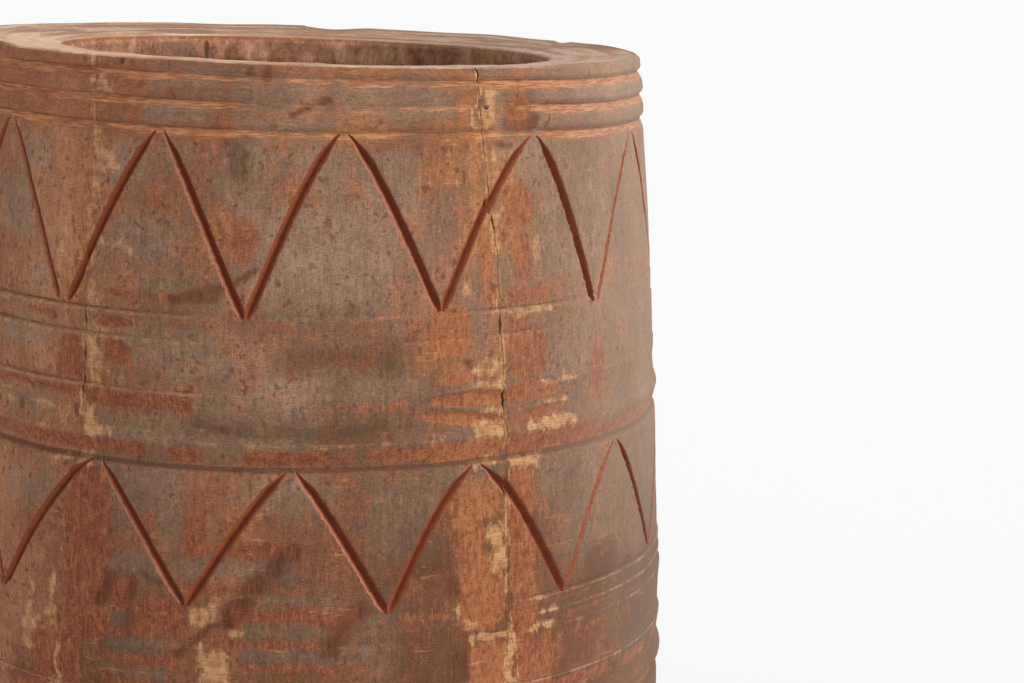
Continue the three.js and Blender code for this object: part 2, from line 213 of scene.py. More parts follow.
# Smooth orange-brown places
BROWNED = [
    (-41, -34.8, 33, 98, 1.5), (-18, -12, 31, 46, 0.85), (-16, -8, 56, 80, 0.9), (-7.3, 9, 45, 54, 0.75),
    (17.3, 25, 24, 50, 0.8), (25.4, 28.4, 28, 68, 1.4), (23, 27, 11, 31, 1.2), (22, 26.6, 52, 94, 0.8),
    (27.1, 34.5, 33, 79, 0.8), (-34, -22.4, 30, 46, 0.75), (-26.7, -18, 49, 57, 0.8),
    (-58, -35.3, 6, 30, 0.7), (5.8, 14.2, 24, 31, 0.8), (-18, -6.4, 174, 199, 0.7),
    (-39.2, -33.4, 118, 146, 0.8), (-31.7, -26.5, 112, 128, 0.75), (15.3, 25, 114, 130, 0.8),
    (27.4, 35.6, 108, 153, 0.8), (31.4, 37, 1, 27, 0.9), (-34, -28, 50, 70, 0.8), (30.5, 36, 160, 210, 0.8),
    (33, 60, 236, 264, 0.85), (48, 62, 205, 232, 0.7), (-52, -40, 190, 262, 0.6),
]
# Grey places, where the weathered skin is whole
GREYED = [
    (-50.4, -41.5, 36, 52, 1), (-55, -47.2, 53, 77, 0.9), (-31, -24.5, 36, 50, 0.9),
    (-28.7, -19.7, 64, 80, 0.8), (-11.7, -6.6, 31, 58, 1.1), (-0.9, 5.7, 33, 52, 0.7),
    (-27, -13.3, 109, 115, 0.8), (-20.8, -10.3, 118, 124, 0.6), (-16, -0.8, 134, 150, 1),
    (-52, -38.5, 168, 187, 1), (-30.7, -18.2, 162.7, 180, 0.9), (-32, -19, 198, 207.3, 1.1),
    (-32, -28.8, 210, 225, 0.9), (-17, -2, 198, 204.5, 1.1), (-10.8, 3.5, 171.4, 178, 0.8),
    (-9.2, 3.5, 225.6, 230.2, 0.9), (-6.7, 5, 212.4, 216.8, 0.9), (-10, 9, 235.2, 239.4, 0.9),
    (-31, -26, 224.6, 228.6, 0.9), (-31, -19.5, 235.4, 239.4, 0.9), (-31, -20, 245.6, 249.8, 0.8),
    (-22.5, -18.6, 178, 195, 0.8), (3.5, 12, 215, 232, 0.5), (-31.4, -15.3, 144, 151.4, 0.8),
    (5, 22.4, 9, 20, 0.9), (31.2, 43.8, 35, 44, 0.6), (50, 92, 166, 264, 0.45), (46.4, 71.4, 9, 17, 0.8),
    (18.4, 26.5, 131, 134, 0.5), (43, 53.5, 42, 79, 0.7), (-52.7, -41.5, 138, 150, 0.8),
    (-54, -41, 106, 121, 0.9), (6.4, 13, 232, 250, 0.5), (41.2, 51, 176, 212, 0.6), (-8, 12, 60, 98, 0.9),
    (19, 30.5, 162.5, 172, 0.8), (-8, 1, 164, 172, 0.9), (10, 20, 166, 200, 0.8), (-5, 17, 123, 131, 0.8),
    (37, 50, 162, 180, 0.6), (40.5, 48, 40, 84, 0.8), (-24.8, -12.5, 5, 11, 1), (-25, -14.5, 17, 25, 1.1),
    (-22, -14.5, 27, 31, 0.9), (-11.4, 1.8, 10, 19, 0.9), (-11.6, 3.5, 22, 29, 0.7),
    (-43, -34, 12, 16, 0.8), (-24, -18, 84, 90, 0.7), (9, 17, 38, 58, 0.7), (-46, -41, 84, 98, 0.9),
    (-31, -12, 184, 190, 0.6), (31.5, 50, 118, 132, 0.6), (-22, -13, 34, 42, 0.5),
]
# Darker places; the first, in the hollow above the raised band, is painted shade
DARKENED_AND_SHADED = [
    (-17.3, 11.2, 141.5, 149.5, 0.7), (-10, 11, 93, 107, 0.25), (13.2, 21.3, 187, 209, 0.4),
    (14, 24.5, 231, 254, 0.2), (-3.3, 13.8, 110, 121, 0.5), (-48, -38, 250, 262, 0.6),
    (48, 55.2, 206, 223, 0.7), (32.5, 37.3, 14, 28, 0.9), (-11.2, -9, 33, 46, 0.6),
]
# Tan paste smeared beside the joints and in hollows
PASTED = [
    (-34.4, -30.8, 9, 16.5, 1), (-34.6, -32, 2, 9, 0.7), (-34.3, -32.9, 29, 62, 1),
    (-33.4, -29, 39.5, 49, 0.9), (-35.2, -33, 60, 100, 0.75), (-33.2, -26, 70, 78, 0.7),
    (-41.2, -38.4, 69.5, 84, 0.9), (-34.4, -30, 106.2, 110.2, 0.9), (-34.4, -31.6, 96, 101.5, 0.9),
    (-34.2, -31.6, 110, 132, 0.95), (-31, -26.3, 123.5, 129, 0.6), (-41.2, -36.8, 138.8, 150, 0.75),
    (-34.9, -32.4, 137.5, 151, 1.05), (-34.9, -29.4, 147.5, 151.8, 1.1), (-27.3, -25.2, 145, 149, 0.75),
    (-41, -36, 160.5, 163.8, 0.85), (-36.5, -31.6, 158, 167, 0.85), (-46, -43.8, 226, 248, 1),
    (-44.2, -42.4, 231, 238.5, 1), (-44.9, -43.7, 217, 226, 0.95), (-41.2, -39.3, 212, 234, 1.1),
    (-39.3, -38.1, 236, 262, 0.95), (-38, -35.5, 233, 242, 0.6), (-17, -14, 217, 229, 0.95),
    (-14.4, -12.3, 213, 225, 1), (-11.2, -8.6, 225.8, 230, 1.05), (-15.4, -10.5, 236, 252, 1),
    (-16.4, -14, 229, 240, 0.65), (26.4, 27.4, 1, 26, 1), (27.6, 30, 7.5, 27, 1.05),
    (28.9, 32.4, 34, 41, 0.75), (29, 30.4, 60, 78, 1.1), (30, 31, 48, 62, 0.7),
    (26.3, 30.4, 128, 131.8, 1.1), (24.5, 30.4, 116, 128, 0.72), (25, 30.4, 138.8, 142.2, 0.95),
    (25.4, 30.7, 144.8, 152, 1.15), (18.3, 21.5, 145.5, 152, 0.62), (31.2, 40, 99.8, 103.2, 1),
    (36.8, 38.8, 70, 88, 0.85), (38, 46.5, 130, 133.2, 0.95), (34, 45.2, 146.6, 151.6, 1.1),
    (38.4, 44, 139.4, 142.4, 0.8), (31.2, 38, 160.6, 167.6, 1), (25.2, 31, 159.8, 164.4, 1),
    (27.8, 30.6, 188, 210, 1.1), (24.2, 30.6, 232.8, 236, 1.15), (30.2, 32.4, 236, 258, 0.95),
    (34.3, 39.6, 233.6, 236.6, 1.05), (36.4, 40, 227.2, 229.8, 0.9), (36, 38.6, 221, 224, 0.75),
    (23.4, 26.4, 225.5, 231, 0.7), (21.8, 23, 214, 226, 0.75), (23, 28, 84, 99, 0.6),
    (43, 45, 150, 156, 0.6), (-52, -41, 141, 144.5, 0.75), (-56, -43, 99.6, 102.6, 0.7),
    (-56, -44, 110, 112.4, 0.65),
]
# Dark stains, knots and burns
STAINED = [
    (-19, -13, 90, 96, 0.7), (-9.6, -8.2, 36, 48, 0.75), (-9.8, -8.2, 2, 9, 0.8), (-7, -4.6, 1.5, 9, 0.85),
    (36.2, 38.4, 20.5, 27.5, 1), (30, 33, 31.5, 35.5, 0.75), (39.6, 41, 14, 29, 0.75),
    (23.8, 25.2, 118, 123, 0.85), (22, 23.6, 187, 192, 0.85), (57, 60.5, 216.5, 221, 0.95),
    (5.6, 7.6, 93, 99, 0.75), (-14, -11, 142.5, 147.5, 0.7), (-48.8, -46.8, 140, 148, 0.75),
    (-40, -38, 184, 194, 0.75), (-36.6, -35.4, 139, 146, 0.9), (20.6, 24, 238, 254, 0.85),
    (15, 19.6, 243, 254, 0.45), (20, 23, 206, 217, 0.8), (-26.4, -24.6, 207, 234, 0.8),
    (50.2, 52.8, 122, 140, 0.55), (-23, -21.4, 121, 127, 0.75), (-17, -15.6, 114.5, 118.5, 0.7),
    (-17, -15.2, 122, 127.5, 0.7), (-12.8, -11, 121, 127, 0.75), (37.4, 39, 118, 126, 0.75),
    (33.6, 34.6, 84, 89, 0.75), (-30, -29, 1.5, 5, 1.1), (-22, -21, 1.5, 5, 0.8), (44.6, 46, 36, 41, 0.6),
    (48.8, 50, 41, 47, 0.6), (54, 55.4, 36, 40, 0.55),
]
# Dark slanting strokes: (first angle, first depth, last angle, last depth, half width, strength)
STROKES = [
    (-2, 195, -11.6, 223, 4.6, 1.15), (-12, 222, -18.4, 239, 1.6, 1.1), (8, 219, 3, 235, 4.4, 1.05),
    (-7, 80, -12.5, 87.5, 2, 0.8), (-12.5, 87.5, -20, 94, 2.6, 0.95), (-28.5, 209, -31, 221, 3, 1),
    (2.2, 85.6, 5.4, 87.4, 0.5, 0.9), (3.5, 14.5, -2, 21, 1.6, 0.9), (-24, 206, -21.4, 209, 3, 0.8),
]
# Gouges cut with a curved blade: (middle angle, middle depth, half length, half height, slant, depth)
GOUGES = [
    (24.8, 135.2, 21, 3.8, 0.02, 1), (23.6, 143, 21, 3.4, 0.14, 1.2), (36.2, 134.6, 17, 5, 0, 0.9),
    (38.6, 144.4, 15, 3, -0.08, 0.9), (34.6, 58.5, 9, 9, 0, 0.5), (21.4, 107, 11, 10.5, 0, 0.6),
    (-29.8, 104.2, 9.5, 2.8, 0.02, 0.8), (-28.4, 116, 7, 5, 0, 0.6), (35.2, 115, 10, 8, 0, 0.5),
    (51.3, 131, 7.5, 14, 0, 0.35),
]
# Open stretches of the joints, where the paste has fallen out: (first depth, last depth)
OPEN_JOINT = {
    "front_left": [(102, 106), (117, 120), (128, 137)],
    "front_right": [(2, 7), (62, 67), (102.5, 109), (133, 140)],
    "right": [(22, 30), (90, 104), (190, 201), (260, 280)],
    "back_right": [(4, 12), (66, 76), (150, 170), (300, 312)],
    "back": [(12, 30), (120, 132), (210, 236), (340, 356)],
    "left": [(40, 52), (106, 121), (180, 188), (290, 310)],
}

# How plainly a joint's crack shows down the wall, (depth, share)
CRACK_SHOWN = {
    "front_left": [
        (0, 0.25), (25, 0.35), (32, 0.5), (60, 0.6), (98, 0.55), (102, 1), (140, 1), (150, 0.4), (420, 0.5),
    ],
    "front_right": [(0, 1), (146, 1), (165, 0.7), (420, 0.65)],
}
CRACK_ELSEWHERE = 0.8

# Random marks and teeth on the sides that the photo doesn't show
TEETH_SEED = 7
MARKS_SEED = 19
SCATTERED_RUBBED = 230
SCATTERED_STAINS = 150
SEAM_MARKS_APART = 9


def smooth(x):
    x = np.clip(x, 0, 1)
    return x * x * (3 - 2 * x)


def window(x, start, rise, stop, fall):
    """1 between two values, with a soft rise after the first and a soft fall before the second."""
    return smooth((x - start) / rise) * smooth((stop - x) / fall)


def arc(degrees):
    """Length along the wall of an angle."""
    return np.radians(degrees) * MEAN_RADIUS


def wrap(degrees):
    return (np.asarray(degrees) + 180) % 360 - 180


def by_angle(angle, pairs):
    pairs = np.array(pairs, float)
    return np.interp(wrap(angle), pairs[:, 0], pairs[:, 1])


def noise(angle, depth, across, down, seed):
    """Smooth noise from -1 to 1 that closes round the vessel, with cells of about across by down."""
    around = max(3, round(2 * math.pi * MEAN_RADIUS / across))
    rows = 64
    table = np.random.default_rng(seed).uniform(-1, 1, (rows, around))
    u = (np.asarray(angle, float) / 360 % 1) * around
    v = np.asarray(depth, float) / down % rows
    i = np.floor(u).astype(int)
    j = np.floor(v).astype(int)
    fu = smooth(u - i)
    fv = smooth(v - j)
    i0 = i % around
    i1 = (i + 1) % around
    j0 = j % rows
    j1 = (j + 1) % rows
    upper = table[j0, i0] * (1 - fu) + table[j0, i1] * fu
    lower = table[j1, i0] * (1 - fu) + table[j1, i1] * fu
    return upper * (1 - fv) + lower * fv


def waves(angle, depth, layers):
    """Sum of noises, each given as (height, cell across, cell down, seed)."""
    return sum(height * noise(angle, depth, across, down, seed) for height, across, down, seed in layers)


def belly(depth):
    """The plain outer radius at a depth."""
    depth = np.clip(depth, 0, HEIGHT)
    return RIM_RADIUS + BULGE * (1 - np.abs(1 - depth / BELLY_DEPTH) ** BELLY_POWER)


def rim_lift(x, y, depth):
    fade = smooth((depth - TILT_FULL_DEPTH) / (TILT_END_DEPTH - TILT_FULL_DEPTH))
    return (RIM_TILT_X * x + RIM_TILT_Y * y) * (1 - fade)


def seam_angle(name, depth):
    course = np.array(SEAMS[name], float)
    wobble = 0.1 * noise(np.asarray(depth) * 3, depth, 9, 12, 40 + SEAM_NAMES.index(name))
    return np.interp(depth, course[:, 0], course[:, 1]) + wobble


def teeth_limbs():
    """Every cut of the zigzag rows: row, top angle, top depth, foot angle, foot depth, bow and side."""
    rng = np.random.default_rng(TEETH_SEED)
    limbs = []
    for row, (top, bottom) in enumerate(TEETH_PLAIN):
        teeth = list(TEETH_SEEN[row])
        start = TEETH_START[row]
        first = (teeth[0][0] if teeth else start) + 360
        missing = TEETH - len(teeth)
        step = (first - start) / missing
        for k in range(missing):
            jitter = rng.uniform(-1, 1, 6) * TOOTH_JITTER
            teeth.append((
                start + k * step + jitter[0] * (k > 0), top + jitter[1],
                start + (k + 0.5) * step + jitter[2], bottom + jitter[3],
                PLAIN_BOWS[0] + jitter[4], PLAIN_BOWS[1] + jitter[5],
            ))
        if LEFT_VALLEYS[row]:
            valley, valley_depth = LEFT_VALLEYS[row]
            teeth[-1] = teeth[-1][:2] + (valley + 360, valley_depth) + teeth[-1][4:]
        for k, (apex, apex_depth, valley, valley_depth, bow_left, bow_right) in enumerate(teeth):
            foot = teeth[k - 1][2] - 360 * (k == 0)
            foot_depth = teeth[k - 1][3]
            before = WIDE_VALLEYS.get(foot, FOOT_APART)
            after = WIDE_VALLEYS.get(valley, FOOT_APART)
            limbs.append((row, apex - TOP_APART, apex_depth, foot + before, foot_depth, bow_left, -1))
            limbs.append((row, apex + TOP_APART, apex_depth, valley - after, valley_depth, bow_right, 1))
    return np.array(limbs)


LIMBS = teeth_limbs()


def limb_centre(limb, depth):
    """A cut's angle at a depth."""
    _, top, top_depth, foot, foot_depth, bow, _ = limb
    t = np.clip((depth - top_depth) / (foot_depth - top_depth), 0, 1)
    return top + (foot - top) * t + bow * np.sin(math.pi * t ** BOW_POWER)


PHOTO_ANGLES = (-56, 68)
PHOTO_DEPTH = 262


def in_photo(angle, depth):
    return PHOTO_ANGLES[0] < wrap(angle) < PHOTO_ANGLES[1] and depth < PHOTO_DEPTH


def random_marks():
    """Marks for the sides that the photo doesn't show, along the joints and scattered, in its manner."""
    rng = np.random.default_rng(MARKS_SEED)
    rubbed, pasted, stained = [], [], []

    def mark(marks, angle, depth, half, tall, strength):
        if not in_photo(angle, depth):
            marks.append((angle - half, angle + half, depth - tall, depth + tall, strength))

    for name in SEAM_NAMES:
        for depth in np.arange(4, 416, SEAM_MARKS_APART):
            middle = float(seam_angle(name, depth))
            draw = rng.random(8)
            if draw[0] < 0.62:
                mark(rubbed, middle + 7 * draw[1] - 3.5, depth, 1.2 + 3 * draw[2], 3 + 12 * draw[3],
                     0.7 + 0.6 * draw[4])
            if draw[5] < 0.5:
                mark(pasted, middle + 3.2 * draw[6] - 1.6, depth, 0.6 + 1.6 * draw[7], 2 + 7 * draw[1],
                     0.7 + 0.45 * draw[2])
    for _ in range(SCATTERED_RUBBED):
        draw = rng.random(5)
        mark(rubbed, 360 * draw[0], 2 + 414 * draw[1], 1.5 + 5 * draw[2], 2.2 + 2.8 * draw[3],
             0.6 + 0.5 * draw[4])
    for _ in range(SCATTERED_STAINS):
        draw = rng.random(5)
        mark(stained, 360 * draw[0], 2 + 414 * draw[1], 0.4 + 1.2 * draw[2], 1.5 + 4.5 * draw[3],
             0.6 + 0.35 * draw[4])
    for top, bottom in ((132, 138), (152.6, 158.8), (259, 266), (277, 283)):
        angle = 70.0 if top < 250 else -60.0
        while angle < 300:
            length = rng.uniform(5, 22)
            strength = rng.uniform(0.75, 1.3)
            mark(rubbed, angle + length / 2, (top + bottom) / 2, length / 2, (bottom - top) / 2, strength)
            angle += length + rng.uniform(0.5, 5)
    return RUBBED + rubbed, PASTED + pasted, STAINED + stained


ALL_RUBBED, ALL_PASTED, ALL_STAINED = random_marks()


MOULDINGS = (155.7, 279.7)  # the middle of each raised band, whose marks keep straight edges
RAGGED_ACROSS = [(0.9, 12, 10, 81), (0.6, 4, 3.4, 82)]
RAGGED_DOWN = [(0.55, 15, 8, 83), (0.4, 4.4, 2.8, 84)]


def ragged(angle, depth, reach):
    """Angle and depth pushed about by up to about this reach, so that a mark's edge is never straight."""
    across = waves(angle, depth, RAGGED_ACROSS)
    down = waves(angle, depth, RAGGED_DOWN)
    for middle in MOULDINGS:
        down = down * (1 - 0.75 * smooth(1.4 - np.abs(depth - middle) / 6))
    return angle + np.degrees(reach * across / MEAN_RADIUS), depth + reach * down


def zone_field(zones, angle, depth, soft):
    """0 outside, half on a zone's rounded edge and 1 well inside, times its strength."""
    field = np.zeros(np.shape(angle))
    for first, last, top, bottom, strength in zones:
        rows = np.flatnonzero((depth > top - soft) & (depth < bottom + soft))
        half = arc((last - first) / 2)
        tall = (bottom - top) / 2
        across = arc(np.abs(wrap(angle[rows] - (first + last) / 2)))
        near = across < half + soft
        rows = rows[near]
        corner = 0.7 * min(half, tall)
        x = across[near] - half + corner
        y = np.abs(depth[rows] - (top + bottom) / 2) - tall + corner
        inside = corner - np.hypot(np.maximum(x, 0), np.maximum(y, 0)) - np.minimum(np.maximum(x, y), 0)
        value = 0.5 + 0.5 * inside / np.where(inside > 0, min(half, tall, soft), soft)
        field[rows] = np.maximum(field[rows], np.clip(value, 0, 1) * strength)
    return field


def stroke_field(angle, depth):
    field = np.zeros(np.shape(angle))
    for first_angle, first_depth, last_angle, last_depth, half, strength in STROKES:
        run = arc(last_angle - first_angle)
        fall = last_depth - first_depth
        x = arc(wrap(angle - first_angle))
        y = depth - first_depth
        t = np.clip((x * run + y * fall) / (run ** 2 + fall ** 2), 0, 1)
        far = np.hypot(x - t * run, y - t * fall)
        field = np.maximum(field, strength * np.clip(1 - 0.5 * far / half, 0, 1))
    return field


def band_strength(angle, depth):
    """How boldly the turned bands are cut at each point."""
    strength = by_angle(angle, BAND_STRENGTH[0][1])
    for start, pairs in BAND_STRENGTH[1:]:
        step = smooth((depth - start) / BAND_FADE + 0.5)
        strength = strength + (by_angle(angle, pairs) - strength) * step
    worn = 0.2 * noise(angle, depth, 38, 16, 3)
    return np.clip(strength + worn, 0.08, 1.4)


def cuts(angle, depth, shift):
    """The V cuts: their depth, how far down the V a point lies, from 0 at its lips, and how pale it is, as
    painted light and shade on its walls.
    """
    deep = np.zeros(np.shape(angle))
    share = np.zeros(np.shape(angle))
    pale = np.zeros(np.shape(angle))
    for limb in LIMBS:
        _, top_angle, top, _, foot, _, side = limb
        rows = np.flatnonzero((depth > top - 1.2) & (depth < foot + 1.2))
        offset = wrap(angle[rows] - limb_centre(limb, depth[rows]) - shift)
        near = np.abs(offset) < 4
        rows = rows[near]
        if not len(rows):
            continue
        d = depth[rows]
        slope = arc(limb_centre(limb, d + 0.5) - limb_centre(limb, d - 0.5))
        s = arc(offset[near]) / np.sqrt(1 + slope ** 2)
        t = (d - top) / (foot - top)
        torn = 0.24 * noise(angle[rows] + 7 * d, d, 2.0, 1.6, 5)
        swell = window(t, -0.0192, 0.16, 1.035, 0.1)
        swell *= 1 + 0.10 * noise(d * 2 + top_angle, d, 12, 14, 6)
        broad = by_angle(angle[rows], FALLING_WIDTHS if side > 0 else RISING_WIDTHS)
        ragged_lip = 1 + 2.2 * torn * smooth((0.8 - broad) / 0.3)
        width = CUT_HALF_WIDTH * (0.25 + 0.75 * swell) * broad * ragged_lip
        if side > 0:
            lip = width * np.where(s < 0, 0.8 + 0.9 * torn, 1.1 + 0.2 * torn)
            tones = np.array(FALLING_TONES)
        else:
            lip = width * np.where(s < 0, 0.98, 0.86 + 0.4 * torn)
            tones = np.array(RISING_TONES)
        ends = window(d, top - 0.8, 1.2, foot + 0.6, 1)
        v = np.clip(1 - np.abs(s) / lip, 0, 1)
        bite = CUT_DEPTH * (0.2 + 0.8 * swell) * np.minimum(broad, 1)
        deep[rows] = np.maximum(deep[rows], bite * (v - 0.12 * v ** 4) * ends)
        tone = np.interp(s / lip, tones[:, 0], tones[:, 1])
        tone += (FAINT_TONE - tone) * smooth((0.9 - broad) / 0.4)
        tone *= 1 - 0.45 * (side > 0) * smooth((wrap(angle[rows]) - 30) / 8)
        pale[rows] = np.where(v * ends > share[rows], tone, pale[rows])
        share[rows] = np.maximum(share[rows], v * ends)
    return deep, share, pale


def seam_distance(angle, depth):
    """Distance along the wall to the nearest joint."""
    best = np.full(np.shape(angle), 1e3)
    for name in SEAM_NAMES:
        best = np.minimum(best, np.abs(arc(wrap(angle - seam_angle(name, depth)))))
    return best


FACET_HEIGHT = 10.4
FACETS_AROUND = [(-180, 0.55), (-60, 0.4), (-50, 0.3), (-30, 1), (2, 1), (14, 0.35), (30, 0.3),
                 (70, 0.3), (180, 0.55)]


def facets(angle, depth):
    """Shallow sideways tool marks on the lower wall: 1 where the blade took the skin off."""
    phase = (depth + 1.5 * noise(angle, depth, 60, 60, 8)) / FACET_HEIGHT % 1
    patchy = smooth(0.6 + 1.2 * noise(angle, depth, 32, 18, 9))
    shown = by_angle(angle, FACETS_AROUND) * patchy * smooth((depth - 182) / 12)
    return window(phase, 0, 0.12, 0.62, 0.12) * shown


def gouge_depth(angle, depth):
    """How deep the gouges are, and where painted shade lies as a dark line along each gouge's upper edge."""
    deep = np.zeros(np.shape(angle))
    outline = np.zeros(np.shape(angle))
    for middle, level, half_long, half_tall, slant, amount in GOUGES:
        x = arc(wrap(angle - middle))
        y = depth - level - slant * x
        r = (np.abs(x) / half_long) ** 1.7 + (np.abs(y) / half_tall) ** 2
        deep = np.maximum(deep, amount * smooth(1.5 * (1 - r)))
        outline = np.maximum(outline, np.clip(1 - 3.5 * np.abs(r - 0.95), 0, 1) * (y < 0) * (amount > 0.7))
    return deep, outline


def line_field(depth, lines, above, core, below):
    """A ramp up to 1 and down again about each of some depths."""
    field = np.zeros(np.shape(depth))
    for line in lines:
        rise = (depth - line + above) / (above - core)
        fall = (line + below - depth) / (below - core)
        field = np.maximum(field, np.clip(np.minimum(rise, fall), 0, 1))
    return field


# How brown the grey of the weathered wood turns, and how much darker it is further down, by angle
WARM_OUTSIDE = [(-180, 0.5), (-60, 0.95), (-38, 0.85), (-33, 0.5), (-12, 0.35), (20, 0.3), (34, 0.3),
                (60, 0.15), (180, 0.5)]
WARM_RIM = [(-180, 0.4), (-36, 0.5), (-30, 0.25), (-10, 0.25), (26, 0.15), (32, -0.1), (70, -0.1),
            (180, 0.4)]
WARM_INSIDE = [(-180, 0.6), (-40, 0.9), (0, 0.5), (50, 0.1), (120, 0.3), (180, 0.6)]
LIGHTER_REDS = [(-180, 0), (8, 0), (24, 1), (29.5, 1), (32, 0.35), (70, 0.4), (125, 0), (180, 0)]
DARKER_BELOW = [(-180, 0.8), (-50, 0.2), (-30, 0.8), (15, 1.0), (45, 1.4), (180, 0.8)]

GROOVES = (8.4, 18.6, 29.3, 392.6, 404.6)  # the middle of the lower slope of each turned groove
GROOVE_BOTTOMS = (6.9, 17.0, 27.8, 391.2, 403.0, 161.2, 284.0)
HOLLOWS = (99.2, 109.2, 130.2, 221.2, 227.8, 235.0, 257.4, 354.2)  # the shallow grooves above the ledges
UNDERCUTS = (161.2, 284.8)  # the shadowed grooves under the raised bands
# Tops of the ledges, where a painted highlight lies, with some edge wear
HIGHLIT_LEDGES = (100.6, 110.8, 131.6, 151.0, 222.4, 229.0, 236.0, 258.2, 355.6)

# Unevenness of the surfaces: (height, cell across, cell down, seed)
HEWN_WAVES = [(0.45, 70, 90, 11), (0.22, 26, 34, 12), (0.1, 9, 5, 13), (0.05, 3, 9, 14),
              (0.035, 1.6, 14, 15)]
TURNED_WAVES = [(0.26, 60, 2.9, 17), (0.14, 26, 1.9, 18)]
INNER_WAVES = [(0.8, 15, 75, 22), (0.35, 6, 30, 23), (0.12, 2.5, 12, 24)]
RIM_WAVES = [(0.35, 22, 9, 25), (0.12, 6, 3, 26)]
RIM_RUBBED = [(0.6, 60, 5, 27), (0.3, 20, 2, 29)]
RIM_RINGS = [(1.3, 42, 2.6, 34), (0.5, 14, 1.8, 35)]
BAND_WANDER = [(0.5, 85, 120, 31), (0.25, 28, 60, 32)]
PASTE_LUMPS = [(0.16, 2.2, 5, 60), (0.12, 0.9, 2.5, 61)]
FACET_DEPTH = 0.28
WIDEST = 164.5  # beyond this radius the belly is cut back, so that it stays inside its CAD


def at_front(angle):
    """1 over the front, where the rim's crest is worn down to the ledge."""
    return window(wrap(angle), -60, 12, 52, 20)


def outer_surface(angle, depth, segment, lip=1.0):
    """Outside of the wall: the radius and the surface fields at each angle and nominal depth."""
    strength = band_strength(angle, depth)
    deep, share, pale = cuts(angle, depth, SEGMENT_SHIFT[segment])
    chips, outline = gouge_depth(angle, depth)
    facet = facets(angle, depth)
    turned = 0.7 * np.maximum(smooth((35 - depth) / 4), smooth((depth - 388) / 4))
    worn_lip = smooth(1 - (seam_distance(angle, depth) - PASTE_HALF) / 1.6)
    worn_lip *= 0.12 + 0.5 * np.maximum(noise(angle, depth, 5, 8, 16), 0)
    plain = belly(depth)
    out = np.interp(depth, PROFILE[:, 0], PROFILE[:, 1]) * strength
    out += waves(angle, depth, HEWN_WAVES) + turned * waves(angle, depth, TURNED_WAVES)
    out += SEGMENT_PROUD[segment] * window(depth, 0, 8, HEIGHT, 12)
    out -= lip * worn_lip + deep + chips + FACET_DEPTH * facet + 0.9 * smooth((plain - WIDEST) / 1.5)

    wide = ragged(angle, depth, 3.4)
    far = ragged(angle, depth, 1.7)
    near = ragged(angle, depth, 2.1)
    turn = wrap(angle)
    rubbed = np.maximum(zone_field(ALL_RUBBED, *far, 2.6), facet * 0.6)
    hollows = 0.85 * line_field(depth, HOLLOWS, 1.4, 0.3, 1)
    grooves = np.maximum(line_field(depth, GROOVE_BOTTOMS, 1.3, 0.3, 1), hollows)
    undercut = 0.7 * line_field(depth, UNDERCUTS, 2, 0.5, 3.6)
    crest_worn = at_front(angle) * (0.75 + 0.4 * noise(angle, depth, 9, 3, 36))
    warm = by_angle(angle, WARM_OUTSIDE) + smooth((38 - depth) / 6) * by_angle(angle, WARM_RIM)
    # Darker further down, by angle, and lighter over the left side, as painted light
    dull = smooth((depth - 60) / 210) * by_angle(angle, DARKER_BELOW) - 0.5 * window(turn, -125, 45, -34, 6)
    return plain + out, {
        "cut": share,
        "slope": pale,
        "rubbed": np.maximum(rubbed, smooth(chips * 3.5) * 1.2),
        "pasted": zone_field(ALL_PASTED, *near, 3.2),
        "stained": np.maximum(zone_field(ALL_STAINED, *near, 2.4), stroke_field(*far)),
        # The turned grooves' lower slopes: orange of newly cut wood, and painted light where they face up
        "fresh": line_field(depth, GROOVES, 2.6, 0.7, 2.4) * strength,
        "shade": np.maximum(grooves * np.sqrt(strength), outline) + undercut,
        # Painted highlight with some wear along the tops of the ledges
        "edge": line_field(depth, HIGHLIT_LEDGES, 1.6, 0.2, 1) * np.clip(strength, 0, 1),
        "browned": zone_field(BROWNED, *wide, 4.5),
        "greyed": zone_field(GREYED, *wide, 5),
        "ledge": crest_worn * smooth((1.6 - depth) / 1.3),
        "turned": turned,
        "warm": warm + 0.3 * smooth((depth - 140) / 60),
        "dull": dull + 1.7 * zone_field(DARKENED_AND_SHADED, *wide, 5),
        # Painted sheen over the right side, which faces the key light, fainter further down
        "veil": window(turn, 26, 44, 125, 45) * (1 - 0.5 * smooth((depth - 150) / 90)),
        "light": by_angle(angle, LIGHTER_REDS),
    }


def crest_drop(angle, radius):
    """Nicks and dips in the rim's crest."""
    turn = wrap(angle)
    drop = 0.9 * smooth(1 - np.abs(turn - 124) / 3) + 1.5 * smooth(1 - np.abs(turn - 175) / 8)
    drop += 0.5 * smooth(1 - np.abs(turn + 26) / 2.5) + 0.35 * (noise(angle, 0, 30, 30, 21) + 0.6)
    drop += at_front(angle) * (1.3 + 0.15 * noise(angle, 0, 5, 5, 33))
    return np.maximum(drop, 0) * smooth((radius - 120) / 22)


# Dark places on the inner wall: (first angle, last angle, first depth, last depth, strength). The wide ones
# are painted shadow, the narrow ones dark cracks and marks.
INNER_SHADES = [
    (140, 171, 4, 60, 0.4), (206.2, 207.4, 4, 80, 1.3), (124, 140, 4, 40, 0.35), (208, 226, 3, 60, 0.65),
    (227.6, 256, 3, 60, 0.55), (172, 173.4, 14, 24, 1), (226.4, 227.4, 12, 80, 1.2),
    (193.5, 206, 14, 60, 0.8),
]


